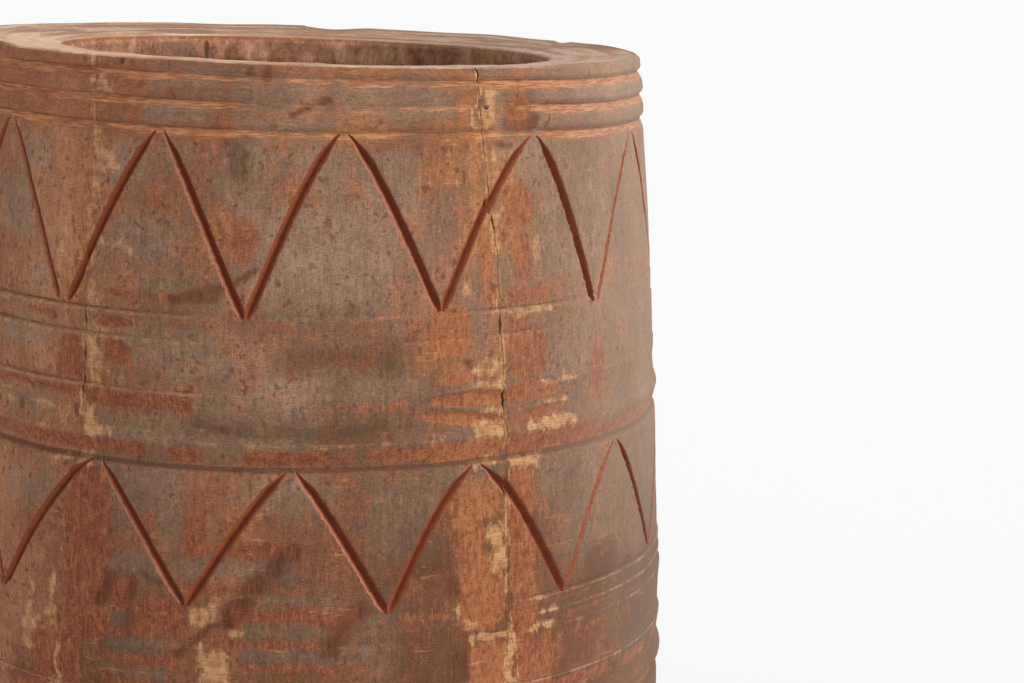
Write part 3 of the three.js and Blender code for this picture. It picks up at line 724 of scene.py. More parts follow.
def inner_surface(angle, radius, depth):
    """Inside, rim top and foot: displaced radius and depth, and the surface fields."""
    wall = window(depth, 4, 6, SHOULDER_DEPTH - 2, 6) * (radius < 115)
    top = (depth < 4.2) & (radius > 106)
    ripple = waves(angle, radius, RIM_WAVES) * window(radius, 107, 6, 145, 6)
    foot = smooth((depth - 419) / 0.8) * window(radius, 123, 2, 162, 2)
    drop = top * (crest_drop(angle, radius) + ripple) - foot * (0.3 + 0.3 * noise(angle, radius, 12, 8, 28))
    inside = smooth((depth - 4.6) / 3) * (radius < 140)
    far_side = smooth((np.abs(wrap(angle)) - 82) / 34) * smooth((radius - 110) / 3)
    rings = smooth(0.5 + waves(angle, radius, RIM_RINGS))
    return radius + wall * waves(angle, depth, INNER_WAVES), depth + drop, {
        "rubbed": top * (0.45 + waves(angle, radius, RIM_RUBBED)),
        # On the inner wall, dark cracks and painted shadow
        "stained": zone_field(INNER_SHADES, angle, depth, 2.4) * inside,
        "rings": top * (0.25 * rings * (1 - far_side) + far_side * (0.55 + 0.45 * rings)),
        "inside": inside,
        "ledge": top * 1.0,
        "turned": top * 1.0,
        "warm": by_angle(angle, WARM_INSIDE),
        # Painted shade, darker deeper down the cavity
        "dull": inside * 2.0 * smooth((depth - 9) / 18),
    }


def place(angle, radius, depth):
    """Metres in the shared frame."""
    turn = np.radians(angle)
    x = radius * np.sin(turn)
    y = -radius * np.cos(turn)
    z = HEIGHT - depth + rim_lift(x, y, depth)
    return np.stack([x, y, z], -1) * MM


def depth_warp(angle, depth):
    """How far the hand-cut bands wander from their nominal depth."""
    return window(depth, 0, 20, HEIGHT - 12, 30) * waves(angle, depth, BAND_WANDER)


FINE_ROWS = 0.85
LOOSE_ROWS = 1.15  # where nothing but the zigzag is cut
LONG_GAP = 40


def outer_depths():
    """Nominal depths of the outer rows: every corner of the bands, and even steps between them."""
    rows = [0.0]
    for corner in PROFILE[1:, 0]:
        gap = corner - rows[-1]
        count = max(1, round(gap / (LOOSE_ROWS if gap > LONG_GAP else FINE_ROWS)))
        rows += list(rows[-1] + gap * (np.arange(count) + 1) / count)
    return np.array(rows)


def inner_rows():
    """Radius and depth of every row on the foot, the inside and the rim's top."""
    rows = []
    last = INSIDE_START
    for radius, depth, count in INSIDE:
        for k in range(count):
            t = (k + 1) / count
            rows.append((last[0] + (radius - last[0]) * t, last[1] + (depth - last[1]) * t))
        last = (radius, depth)
    return np.array(rows)


OUTER_DEPTHS = outer_depths()
INNER_ROWS = inner_rows()
FINE_STEP = 0.05
FINE_COUNT = 7200
BASE_COLUMNS = 820
CUT_COLUMNS = 17  # extra columns that gather round each cut
SEAM_COLUMNS = 14
CUT_REACH = 4.6  # how far from a cut its columns gather, more so away from its row
REACH_GROWTH = 0.75
ROW_FADE = 9  # depth beyond a row of cuts where half of its columns are left
SEAM_REACH = 4.0
COLUMNS = BASE_COLUMNS + CUT_COLUMNS * 2 * TEETH + SEAM_COLUMNS * len(SEAMS)


def gather(density, centre, reach, columns):
    """Gathers extra columns about an angle."""
    first = math.floor((centre - reach) / FINE_STEP)
    last = math.ceil((centre + reach) / FINE_STEP)
    index = np.arange(first, last + 1)
    away = (index * FINE_STEP - centre) / reach
    np.add.at(density, index % FINE_COUNT, columns * np.clip(1 - away ** 2, 0, 1) ** 2 * (15 / 16) / reach)


def column_angles(depth):
    """Angles of the grid's columns on a row. They crowd round the cuts and joints and follow them down."""
    density = np.full(FINE_COUNT, BASE_COLUMNS / 360)
    apart = [max(top - depth, depth - bottom, 0) for top, bottom in TEETH_PLAIN]
    weights = [1 / (1 + (a / ROW_FADE) ** 2) for a in apart]
    for limb in LIMBS:
        row = int(limb[0])
        reach = math.degrees((CUT_REACH + REACH_GROWTH * apart[row]) / MEAN_RADIUS)
        columns = CUT_COLUMNS * weights[row] / sum(weights)
        gather(density, float(limb_centre(limb, depth)), reach, columns)
    for name in SEAM_NAMES:
        gather(density, float(seam_angle(name, depth)), math.degrees(SEAM_REACH / MEAN_RADIUS), SEAM_COLUMNS)
    count = np.cumsum(density)
    count *= COLUMNS / count[-1]
    fine = np.arange(FINE_COUNT) * FINE_STEP
    count -= np.mean(count - COLUMNS * fine / 360)
    turns = (-1, 0, 1)
    return np.interp(
        np.arange(COLUMNS),
        np.concatenate([count + COLUMNS * t for t in turns]),
        np.concatenate([fine + 360 * t for t in turns]),
    )


class Skin:
    """Rows of points joined row to row, and the last to the first, into one closed skin with capped ends."""

    def __init__(self):
        self.rows = []  # (first vertex, number, grid column of the second vertex or None)
        self.angles = np.zeros(0)
        self.faces = []

    def add_row(self, angles, column=None):
        self.rows.append((len(self.angles), len(angles), column))
        self.angles = np.concatenate([self.angles, angles])

    def row_of_each(self):
        return np.repeat(np.arange(len(self.rows)), [number for _, number, _ in self.rows])

    def join_chains(self, a, b, key):
        """Joins two chains of vertices with triangles, keeping pace by a key such as their angle."""
        i = j = 0
        while i < len(a) - 1 or j < len(b) - 1:
            if i == len(a) - 1:
                step_b = True
            elif j == len(b) - 1:
                step_b = False
            else:
                step_b = key[b[j + 1]] < key[a[i + 1]]
            if step_b:
                self.faces.append((a[i], b[j], b[j + 1]))
                j += 1
            else:
                self.faces.append((a[i], b[j], a[i + 1]))
                i += 1

    def join_quads(self, a, b, count):
        k = np.arange(count)
        self.faces += np.stack([a + k, b + k, b + k + 1, a + k + 1], -1).tolist()

    def join_rows(self, upper, lower):
        start_a, number_a, column_a = upper
        start_b, number_b, column_b = lower
        if column_a is None and column_b is None and number_a == number_b:
            self.join_quads(start_a, start_b, number_a - 1)
            return
        end_a = start_a + number_a
        end_b = start_b + number_b
        if column_a is None or column_b is None:
            self.join_chains(range(start_a, end_a), range(start_b, end_b), self.angles)
            return
        first = max(column_a, column_b)
        last = min(column_a + number_a, column_b + number_b) - 3
        first_a = start_a + 1 + first - column_a
        first_b = start_b + 1 + first - column_b
        last_a = first_a + last - first
        last_b = first_b + last - first
        self.join_quads(first_a, first_b, last - first)
        self.join_chains(range(start_a, first_a + 1), range(start_b, first_b + 1), self.angles)
        self.join_chains(range(last_a, end_a), range(last_b, end_b), self.angles)

    def close(self, depths, outer_count):
        for i, row in enumerate(self.rows):
            self.join_rows(row, self.rows[(i + 1) % len(self.rows)])
        firsts = [row[0] for row in self.rows]
        lasts = [row[0] + row[1] - 1 for row in self.rows]
        self.join_chains(firsts[:outer_count], firsts[:outer_count - 1:-1], depths)
        self.join_chains(lasts[:outer_count - 1:-1], lasts[:outer_count], depths)


def fill_mesh(name, points, faces, fields):
    mesh = bpy.data.meshes.new(name)
    mesh.from_pydata(points.tolist(), [], faces)
    for key, values in fields.items():
        layer = mesh.attributes.new(key, "FLOAT", "POINT")
        layer.data.foreach_set("value", np.ascontiguousarray(values, dtype=np.float32))
    mesh.shade_smooth()
    mesh.set_sharp_from_angle(angle=math.radians(50))
    return mesh


def surfaced(name, skin, segment, lip, edit=None):
    """Works out where a skin's rows lie and what they show, and makes the mesh."""
    outer_count = len(OUTER_DEPTHS)
    row = skin.row_of_each()
    outside = row < outer_count
    depth = np.concatenate([OUTER_DEPTHS, INNER_ROWS[:, 1]])[row]
    out_angle = skin.angles[outside]
    out_depth = depth[outside]
    out_radius, out_fields = outer_surface(out_angle, out_depth, segment, lip)
    drop = depth_warp(out_angle, out_depth) + crest_drop(out_angle, out_radius) * smooth(1 - out_depth / 3)
    in_angle = skin.angles[~outside]
    in_radius = INNER_ROWS[row[~outside] - outer_count, 0]
    in_radius, in_depth, in_fields = inner_surface(in_angle, in_radius, depth[~outside])
    fields = {}
    for key in {**out_fields, **in_fields}:
        there = out_fields.get(key, np.zeros(len(out_angle)))
        here = in_fields.get(key, np.zeros(len(in_angle)))
        fields[key] = np.concatenate([there, here])
    radius = np.concatenate([out_radius, in_radius])
    depth = np.concatenate([out_depth + drop, in_depth])
    if edit:
        radius = edit(skin.angles, radius, depth, outside, fields)
    skin.close(depth, outer_count)
    return fill_mesh(name, place(skin.angles, radius, depth), skin.faces, fields)


EDGE_MARGIN = 0.12
CREST_COLUMNS = 2.6  # a degree
FILLER_COLUMNS = 15


def wall_mesh(name, left, right, segment, columns):
    """The mesh of one wall segment between the joints' edges, given as functions of depth."""
    skin = Skin()
    margin = math.degrees(EDGE_MARGIN / MEAN_RADIUS)
    for depth, angles in zip(OUTER_DEPTHS, columns):
        first = left(depth)
        last = right(depth)
        onwards = first + (angles - first) % 360
        order = np.argsort(onwards)
        kept = order[(onwards[order] > first + margin) & (onwards[order] < last - margin)]
        skin.add_row(np.concatenate([[first], onwards[kept], [last]]), int(kept[0]))
    fine = round((right(0) - left(0)) * CREST_COLUMNS)
    for i, (_, depth) in enumerate(INNER_ROWS):
        count = fine if i >= len(INNER_ROWS) - CREST_ROWS else INNER_COLUMNS
        skin.add_row(np.linspace(left(depth), right(depth), count))
    return surfaced(name, skin, segment, 1.0)


def filler_mesh(name, seam, segment):
    """A joint's paste: a strip through the wall with a crack wandering down it, open in places."""
    half = math.degrees(PASTE_HALF / MEAN_RADIUS)
    skin = Skin()
    for depth in np.concatenate([OUTER_DEPTHS, INNER_ROWS[:, 1]]):
        middle = float(seam_angle(seam, depth))
        skin.add_row(np.linspace(middle - half, middle + half, FILLER_COLUMNS))

    number = SEAM_NAMES.index(seam)
    shown = np.array(CRACK_SHOWN.get(seam, [(0, CRACK_ELSEWHERE), (HEIGHT, CRACK_ELSEWHERE)]))

    def edit(angle, radius, depth, outside, fields):
        gap = np.zeros(len(angle))
        for top, bottom in OPEN_JOINT[seam]:
            gap = np.maximum(gap, smooth(np.minimum(depth - top, bottom - depth) / 2 + 0.5))
        side = arc(wrap(angle - seam_angle(seam, depth)))
        crack = 0.55 * noise(depth * 0.7, depth, 14, 34, 62 + number)
        crack += 0.2 * noise(depth * 3, depth, 10, 6, 72)
        width = 0.26 + 0.07 * noise(depth * 2, depth, 7, 9, 64) + 0.22 * gap
        plain = np.interp(depth, shown[:, 0], shown[:, 1])
        share = np.clip(1.15 - np.abs(side - crack) / width, 0, 1) * np.maximum(plain, gap)
        lumps = waves(angle, depth, PASTE_LUMPS)
        fields["crack"] = share * outside
        fields["open"] = gap * outside
        smeared = 0.3 + 0.3 * plain + 0.5 * noise(angle, depth, 4, 14, 65)
        fields["pasted"] = np.maximum(fields["pasted"], smeared) * outside
        return radius - (0.05 - lumps + (0.25 + 1.2 * gap) * share) * outside

    return surfaced(name, skin, segment, 0.5, edit)


def lathe(name, outline, origin, axis, around, rough, seed):
    """A closed turned piece along an axis: its outline is (distance along, radius), from pole to pole."""
    rng = np.random.default_rng(seed)
    axis = Vector(axis).normalized()
    side = axis.cross(Vector((0, 0, 1))).normalized()
    other = axis.cross(side)
    waves = [(rng.uniform(0.4, 1), rng.uniform(0, 2 * math.pi)) for _ in range(4)]
    points = []
    for along, radius in outline:
        for k in range(around if radius > 0 else 1):
            turn = 2 * math.pi * k / around
            lobes = sum(w * math.cos((n + 2) * turn + p) for n, (w, p) in enumerate(waves)) / 4
            r = radius * (1 - rough * (0.5 + 0.5 * lobes))
            step = along + rough * rng.uniform(-1, 0) * radius * 0.15
            spot = Vector(origin) + axis * step + side * (r * math.cos(turn)) + other * (r * math.sin(turn))
            points.append([c * MM for c in spot])
    faces = [(0, 1 + k, 1 + (k + 1) % around) for k in range(around)]
    start = 1
    for _ in range(len(outline) - 3):
        for k in range(around):
            n = (k + 1) % around
            faces.append((start + k, start + around + k, start + around + n, start + n))
        start += around
    faces += [(start + k, len(points) - 1, start + (k + 1) % around) for k in range(around)]
    return fill_mesh(name, np.array(points), faces, {})


def surface_spot(angle, depth, segment):
    """Point of the finished outer surface, in millimetres, and the direction out of it."""
    angles = np.array([angle], float)
    depths = np.array([depth], float)
    radius, _ = outer_surface(angles, depths, segment)
    spot = place(angles, radius, depths + depth_warp(angles, depths))[0] / MM
    turn = math.radians(angle)
    return spot, (math.sin(turn), -math.cos(turn), 0)


def nail_mesh(name, angle, depth, segment, seed):
    """A hand-made nail seen end on: a small, uneven, sunk head and its shank in the wall."""
    spot, outwards = surface_spot(angle, depth, segment)
    head = NAIL_HEAD_RADIUS
    outline = [(0.32, 0), (0.30, head * 0.35), (0.22, head * 0.7), (0.05, head * 0.95), (-0.25, head),
               (-0.6, head * 0.9), (-0.8, 0.85), (-6, 0.8), (-14, 0.7), (-22, 0.5), (-24, 0)]
    return lathe(name, outline, spot, outwards, 28, 0.22, seed)


def peg_mesh(name, angle, segment, seed):
    """A whittled peg through the wall into the base board."""
    depth = HEIGHT - PEG_HEIGHT
    spot, outwards = surface_spot(angle, depth, segment)
    end = min(math.hypot(spot[0], spot[1]) + 0.4, float(belly(depth)) + PEG_PROUD)
    r = PEG_RADIUS
    outline = [(end, 0), (end - 0.02, r * 0.3), (end - 0.06, r * 0.6), (end - 0.15, r * 0.85),
               (end - 0.5, r * 0.98), (end - 2, r), (end - 12, r * 0.99), (end - 30, r * 0.98),
               (PEG_INNER + 2, r * 0.92), (PEG_INNER + 0.3, r * 0.7), (PEG_INNER + 0.1, 0)]
    return lathe(name, outline, (0, 0, PEG_HEIGHT), outwards, 40, 0.06, seed)


def board_mesh(name):
    """The round base board, with saw marks across it and a slightly uneven edge."""
    around = 300
    flat = np.linspace(2, BOARD_RADIUS - 1.2, 62)
    outline = [(r, BOARD_TOP) for r in flat]
    outline += [(BOARD_RADIUS - 0.4, BOARD_TOP - 0.5), (BOARD_RADIUS, BOARD_TOP - 1.6)]
    outline += [(BOARD_RADIUS, z) for z in np.linspace(BOARD_TOP - 3, BOARD_BOTTOM + 3, 10)]
    outline += [(BOARD_RADIUS, BOARD_BOTTOM + 1.6), (BOARD_RADIUS - 0.4, BOARD_BOTTOM + 0.5)]
    outline += [(r, BOARD_BOTTOM) for r in flat[::-1]]
    angle = np.tile(np.arange(around) * 360 / around, len(outline))
    radius = np.repeat([r for r, _ in outline], around)
    z = np.repeat([h for _, h in outline], around)
    radius = radius - (radius > BOARD_RADIUS - 1) * 0.25 * (1 + noise(angle, z, 14, 9, 70))
    x = radius * np.sin(np.radians(angle))
    y = -radius * np.cos(np.radians(angle))
    saw = 0.25 * np.sin(x * 1.1 + 0.8 * np.sin(y * 0.05)) + 0.2 * noise(x, y, 9, 40, 71)
    skin_depth = 0.25 + 0.5 * (saw + 0.45)
    z = np.where(z > (BOARD_TOP + BOARD_BOTTOM) / 2, z - skin_depth, z + skin_depth)
    poles = [[0, 0, BOARD_TOP - 0.6]], [[0, 0, BOARD_BOTTOM + 0.6]]
    points = np.concatenate([poles[0], np.stack([x, y, z], -1), poles[1]]) * MM
    faces = []
    last_ring = 1 + (len(outline) - 1) * around
    for k in range(around):
        n = (k + 1) % around
        faces.append((0, 1 + k, 1 + n))
        faces.append((last_ring + k, len(points) - 1, last_ring + n))
        for a in range(1, last_ring, around):
            faces.append((a + k, a + around + k, a + around + n, a + n))
    return fill_mesh(name, points, faces, {})


def linear(red, green, blue):
    """Colour of a shader socket for an sRGB colour of 0 to 255."""
    channels = []
    for value in (red, green, blue):
        c = value / 255
        channels.append(c / 12.92 if c <= 0.04045 else ((c + 0.055) / 1.055) ** 2.4)
    return (*channels, 1.0)


def connect(tree, socket, value):
    if isinstance(value, bpy.types.NodeSocket):
        tree.links.new(value, socket)
    else:
        socket.default_value = value


def add_node(tree, kind, output, inputs, **settings):
    """Adds a shader node, links or sets its inputs, and gives one of its outputs."""
    node = tree.nodes.new("ShaderNode" + kind)
    for key, value in settings.items():
        setattr(node, key, value)
    for key, value in inputs.items():
        connect(tree, node.inputs[key], value)
    return node.outputs[output]


class Paint:
    """One procedural material. Its steps take sockets, numbers, or names of kept values and mesh fields."""

    def __init__(self, name):
        self.material = bpy.data.materials.new(name)
        self.material.use_nodes = True
        self.tree = self.material.node_tree
        self.surface = self.tree.nodes["Principled BSDF"]
        self.place = add_node(self.tree, "TexCoord", "Object", {})
        self.kept = {}

    def keep(self, name, value):
        self.kept[name] = value

    def named(self, value):
        """The kept value of a name, or else the mesh's field. Anything but a name stays as it is."""
        if not isinstance(value, str):
            return value
        if value not in self.kept:
            self.keep(value, add_node(self.tree, "Attribute", "Fac", {}, attribute_name=value))
        return self.kept[value]

    def node(self, kind, output, inputs, **settings):
        inputs = {key: self.named(value) for key, value in inputs.items()}
        return add_node(self.tree, kind, output, inputs, **settings)

    def grain(self, name, x, y, z, detail, rough, offset=0.0):
        """Keeps a noise with this many cells a metre along each axis."""
        start = (offset, offset * 1.7, offset * 0.6)
        spot = self.node("Mapping", "Vector", {"Vector": self.place, "Scale": (x, y, z), "Location": start})
        cells = {"Vector": spot, "Scale": 1.0, "Detail": detail, "Roughness": rough}
        self.keep(name, self.node("TexNoise", "Fac", cells))

    def scaled(self, value, factor, plus=0.0):
        return self.node("Math", 0, {0: value, 1: factor, 2: plus}, operation="MULTIPLY_ADD")

    def sum(self, total=0.0, **factors):
        """Sum of named values, each times its factor."""
        for name, factor in factors.items():
            total = self.scaled(name, factor, total)
        return total

    def ramp(self, value, low, high):
        """0 below low, 1 above high and a soft step between."""
        inputs = {"Value": value, "From Min": low, "From Max": high}
        return self.node("MapRange", "Result", inputs, interpolation_type="SMOOTHSTEP")

    def blend(self, share, a, b):
        """From one value to another."""
        return self.node("Mix", "Result", {"Factor": share, "A": a, "B": b})

    def mix(self, share, under, over, strength=1.0):
        """Lays one colour over another. The upper one may be an sRGB colour."""
        over = linear(*over) if isinstance(over, tuple) else over
        inputs = {"Factor": self.scaled(share, strength), 6: under, 7: over}
        return self.node("Mix", 2, inputs, data_type="RGBA")

    def layer(self, under, over, strength, low, high, **factors):
        """Lays a colour over another where a sum of named values is high."""
        return self.mix(self.ramp(self.sum(**factors), low, high), under, over, strength)

    def shades(self, value, *stops):
        """Colours along a value: (position, sRGB colour)."""
        shade = self.node("ValToRGB", "Color", {"Fac": value})
        elements = shade.node.color_ramp.elements
        while len(elements) < len(stops):
            elements.new(0.5)
        for element, (position, colour) in zip(elements, stops):
            element.position = position
            element.color = linear(*colour)
        return shade

    def finish(self, **inputs):
        """Links or sets inputs of the surface, with _ for each space in their names."""
        for key, value in inputs.items():
            connect(self.tree, self.surface.inputs[key.replace("_", " ")], self.named(value))
        return self.material

    def bump(self, height, distance, strength):
        inputs = {"Height": height, "Distance": distance, "Strength": strength}
        self.finish(Normal=self.node("Bump", "Normal", inputs))


# The wood's noises: name, cells a metre along x, y and z, detail, roughness, offset
WOOD_GRAINS = [
    ("fibre", 2300, 2300, 260, 2, 0.6, 0), ("speckle", 2000, 2000, 1700, 2, 0.6, 3.7),
    ("hatch", 520, 520, 1900, 2, 0.6, 13.1), ("streak", 150, 150, 2100, 3, 0.6, 9.2),
    ("band", 42, 42, 430, 3, 0.6, 23.3), ("strand", 620, 620, 70, 3, 0.6, 3.1),
    ("dapple", 300, 300, 210, 3, 0.65, 31.4), ("cloud", 85, 85, 60, 4, 0.62, 7.7),
    ("sweep", 22, 22, 14, 2, 0.5, 12.3), ("blot", 230, 230, 140, 3, 0.7, 17.7),
    ("speck", 400, 400, 290, 1, 0.5, 41.3),
]


def weathered(p):
    """The bare wall: grey skin, brown and rust-brown places, red rubbed ones, blots, paste and stains."""
    grey = p.shades("tone", (0, (98, 73, 54)), (0.5, (150, 117, 92)), (1, (190, 159, 131)))
    brown = p.shades("tone", (0, (98, 60, 38)), (0.5, (155, 103, 71)), (1, (204, 150, 109)))
    rust = p.shades(p.sum(tone=1, light=0.14),
                    (0, (118, 70, 44)), (0.5, (166, 106, 71)), (1, (210, 152, 108)))
    redness = p.sum(fine=0.8, broad=0.5, dapple=0.7, speckle=0.4, hatch=0.5, light=0.15)
    red = p.shades(p.ramp(redness, 1.05, 1.85),
                   (0, (102, 53, 33)), (0.5, (147, 83, 53)), (1, (186, 121, 80)))
    worn = p.sum(rubbed=1, broad=0.35, fine=0.35, dapple=0.6, cloud=0.5, greyed=-0.25)
    p.keep("worn", p.blend("ledge", worn, 0.0))
    tan = p.shades(p.ramp(p.sum(streak=0.8, dapple=1), 0.6, 1.2),
                   (0, (152, 102, 66)), (0.5, (194, 143, 99)), (1, (218, 173, 126)))
    dark = p.shades(p.ramp(p.sum(fine=1, broad=1), 0.7, 1.3), (0, (76, 42, 28)), (1, (126, 74, 50)))
    colour = p.layer(grey, brown, 1, 1.65, 2.5,
                     warm=1, cloud=1.7, dapple=1.4, lined=1, greyed=-0.9, browned=0.3)
    colour = p.layer(colour, rust, 0.85, 1.4, 2.15, browned=1, cloud=0.9, dapple=0.7, broad=0.3, greyed=-0.4)
    colour = p.layer(colour, red, 0.86, 1.25, 1.85, worn=1)
    colour = p.layer(colour, (116, 70, 48), 0.66, 0.93, 1.1, blot=1, cloud=0.5, fine=0.2)
    colour = p.layer(colour, (98, 62, 43), 0.6, 1.03, 1.13,
                     speck=1, cloud=0.25, dapple=0.35, fine=0.2, turned=-0.1)
    colour = p.layer(colour, tan, 0.88, 1.78, 2.3, pasted=1, broad=0.3, fine=0.4, dapple=1.4, cloud=0.6)
    return p.layer(colour, dark, 0.75, 1.3, 1.75, stained=1, dapple=1, broad=0.5, fine=0.4)


def carved(p, colour):
    """Turned grooves with newly cut colour and painted light on their lower slopes and painted shade in
    them, painted highlights with some wear on the ledges, a painted sheen on the right, and the zigzag's V
    cuts with painted light and shade on their walls.
    """
    fresh = p.shades(p.ramp(p.sum(streak=1.3, band=0.6), 0.65, 1.25),
                     (0, (140, 84, 52)), (0.5, (188, 122, 80)), (1, (220, 162, 116)))
    slope = p.shades(p.sum(-0.25, slope=0.85, speckle=0.4, dapple=0.3, hatch=0.2),
                     (0.12, (90, 39, 20)), (0.38, (122, 60, 34)), (0.66, (152, 82, 48)), (1, (182, 124, 98)))
    # Newly cut orange with painted light on the grooves' upward-facing lower slopes
    colour = p.layer(colour, fresh, 0.9, 2.3, 3.0, fresh=1, streak=1.1, band=1.5, cloud=1, dapple=0.6)
    colour = p.layer(colour, (88, 62, 47), 0.6, 2.3, 2.48, streak=1, band=1, cloud=0.8, turned=1)
    colour = p.layer(colour, (88, 56, 40), 0.62, 1.6, 2.3, shade=1, streak=0.4, dapple=0.7, cloud=1.2)
    # Painted highlights with some wear along the ledges' tops
    colour = p.layer(colour, (192, 161, 130), 0.55, 1.8, 2.5, edge=1, dapple=1, fine=0.3, cloud=1.2)
    # Painted sheen over the right side
    colour = p.mix("veil", colour, (198, 178, 158), 0.28)
    # The cuts' walls, with painted light on one wall and painted shade on the other
    colour = p.layer(colour, slope, 1, 0.2, 0.4, cut=1, speckle=0.25, dapple=0.15)
    # Painted shade at the bottom of each cut
    return p.layer(colour, (86, 38, 20), 0.5, 0.85, 1.2, cut=1, speckle=0.25, dapple=0.15)


def rim_and_inside(p, colour):
    """The rim's top with its turned rings, and the cavity: mottled wood with dark cracks, and painted shade
    in wide patches and deeper down.
    """
    cool = p.shades("tone", (0, (150, 121, 101)), (1, (236, 210, 189)))
    warm = p.shades("tone", (0, (188, 142, 106)), (1, (255, 228, 196)))
    rings = p.shades("tone", (0, (104, 72, 54)), (1, (160, 118, 92)))
    ledge = p.mix(p.ramp("warm", 0.1, 0.8), cool, warm)
    ledge = p.layer(ledge, (178, 124, 90), 0.7, 0.95, 1.7, rubbed=1, dapple=0.8, cloud=0.6)
    ledge = p.layer(ledge, rings, 0.8, 0.75, 1.45, rings=1, dapple=0.6, cloud=0.4)
    colour = p.mix("ledge", colour, ledge, 0.92)
    # The cavity's mottle is darker where painted shade lies deeper down
    mottle = p.ramp(p.sum(tone=0.6, cloud=1, dapple=0.5, dull=-0.2), 0.4, 1.75)
    inner = p.shades(mottle, (0, (118, 74, 52)), (0.5, (206, 150, 116)), (1, (252, 206, 170)))
    # Dark cracks and painted shadow on the inner wall
    inner = p.layer(inner, (84, 58, 46), 0.75, 0.7, 1.2, stained=1, cloud=0.6)
    return p.mix("inside", colour, inner)


def hewn_wood(name):
    """Weathered, rubbed and pasted wood with painted light and shade in places, and the paste in its joints,
    which is soiled as the wood is and carries the same painted light and shade.
    """
    p = Paint(name)
    for grain in WOOD_GRAINS:
        p.grain(*grain)
    p.keep("fine", p.blend("turned", "fibre", "streak"))
    p.keep("broad", p.blend("turned", "strand", "band"))
    p.keep("lined", p.blend("turned", p.sum(strand=0.4), p.sum(band=2.6, turned=-1.5)))
    # The tone is darker in the darker places and under painted shade, and lighter where light is painted on
    # the left
    tone = p.sum(fine=0.5, speckle=0.5, hatch=0.5, broad=0.35, dapple=0.4, cloud=0.5, sweep=0.4, dull=-0.24)
    p.keep("tone", p.ramp(tone, 1.07, 2.11))
    colour = rim_and_inside(p, carved(p, weathered(p)))
    colour = p.layer(colour, (112, 66, 46), 0.85, 0.3, 0.9, crack=1, dapple=0.3)
    colour = p.layer(colour, (62, 36, 26), 0.9, 1.2, 1.8, crack=1, open=1)
    p.bump(p.sum(fine=0.6, speckle=0.4, hatch=0.3, broad=0.4, dapple=0.4), 0.0004, 0.6)
    roughness = p.ramp(p.sum(fine=0.5, cloud=0.5), -0.6, 0.85)
    return p.finish(Base_Color=colour, Roughness=roughness, Specular_IOR_Level=0.2)


def board_wood():
    p = Paint("board_wood")
    p.grain("saw", 900, 60, 300, 3, 0.6, 4.4)
    p.grain("broad", 120, 9, 60, 3, 0.6, 9.9)
    p.grain("cloud", 28, 20, 28, 3, 0.6, 14.2)
    tone = p.ramp(p.sum(saw=0.8, broad=1, cloud=0.7), 0.9, 1.6)
    colour = p.shades(tone, (0, (84, 60, 46)), (0.5, (126, 94, 72)), (1, (168, 134, 106)))
    p.bump(p.sum(saw=0.8, broad=0.4), 0.0005, 0.7)
    return p.finish(Base_Color=colour, Roughness=p.ramp("cloud", -0.8, 0.7), Specular_IOR_Level=0.2)


def peg_wood():
    p = Paint("peg_wood")
    p.grain("ends", 1300, 1300, 1300, 3, 0.6, 6.6)
    p.grain("broad", 300, 300, 300, 2, 0.6, 8.1)
    tone = p.ramp(p.sum(ends=1, broad=0.8), 0.6, 1.2)
    colour = p.shades(tone, (0, (84, 56, 40)), (0.6, (142, 102, 72)), (1, (178, 138, 102)))
    p.bump("ends", 0.0005, 0.8)
    return p.finish(Base_Color=colour, Roughness=p.ramp("broad", -0.8, 0.7), Specular_IOR_Level=0.2)


def nail_iron():
    p = Paint("nail_iron")
    p.grain("rust", 1600, 1600, 1600, 3, 0.65, 3.3)
    p.grain("broad", 500, 500, 500, 2, 0.6, 1.1)
    tone = p.ramp(p.sum(rust=1, broad=0.6), 0.55, 1.1)
    colour = p.shades(tone, (0, (38, 33, 32)), (0.5, (80, 69, 67)), (1, (140, 122, 114)))
    p.bump("rust", 0.0003, 0.8)
    roughness = p.ramp("broad", -0.2, 1.2)
    return p.finish(Base_Color=colour, Roughness=roughness, Specular_IOR_Level=0.4, Metallic=0.35)


def scene_object(name, data):
    made = bpy.data.objects.new(name, data)
    bpy.context.scene.collection.objects.link(made)
    return made


def add_piece(mesh, node, material):
    """Shows a mesh on the vessel's one body, in place of its CAD node."""
    piece = scene_object(mesh.name, mesh)
    mesh.materials.append(material)
    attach(piece, "root")
    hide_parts(node)


def add_nail(name, node, seam, offset, depth, following, iron, seed):
    angle = float(seam_angle(seam, depth)) + offset
    host = following if offset > 0 else (following - 1) % len(SEGMENTS)
    add_piece(nail_mesh(name, angle, depth, host, seed), node, iron)


def build_vessel():
    wood = hewn_wood("wall_wood")
    paste = hewn_wood("seam_filler")
    peg = peg_wood()
    iron = nail_iron()
    columns = [column_angles(depth) for depth in OUTER_DEPTHS]
    edge = math.degrees((FILLER_HALF + GAP) / MEAN_RADIUS)
    for i, segment in enumerate(SEGMENTS):
        seam = SEAM_NAMES[i]
        following = SEAM_NAMES[(i + 1) % len(SEAM_NAMES)]
        whole_turn = 360 * (i == len(SEGMENTS) - 1)

        def left(depth):
            return float(seam_angle(seam, depth)) + edge

        def right(depth):
            return float(seam_angle(following, depth)) + whole_turn - edge

        wall = wall_mesh(f"wall_{segment}", left, right, i, columns)
        add_piece(wall, f"wall_segment_{segment}", wood)
        add_piece(filler_mesh(f"filler_{seam}", seam, i), f"seam_filler_{seam}", paste)
        add_nail(f"rim_nail_{seam}", f"nail_rim_{seam}", seam, *RIM_NAILS[i], i, iron, 80 + i)
        add_nail(f"foot_nail_{seam}", f"nail_foot_{seam}", seam, *FOOT_NAILS[i], i, iron, 90 + i)
        level = HEIGHT - PEG_HEIGHT
        middle = (left(level) + right(level)) / 2
        add_piece(peg_mesh(f"peg_{segment}", middle, i, 100 + i), f"base_peg_{segment}", peg)
    add_piece(board_mesh("base_board_wood"), "base_board", board_wood())


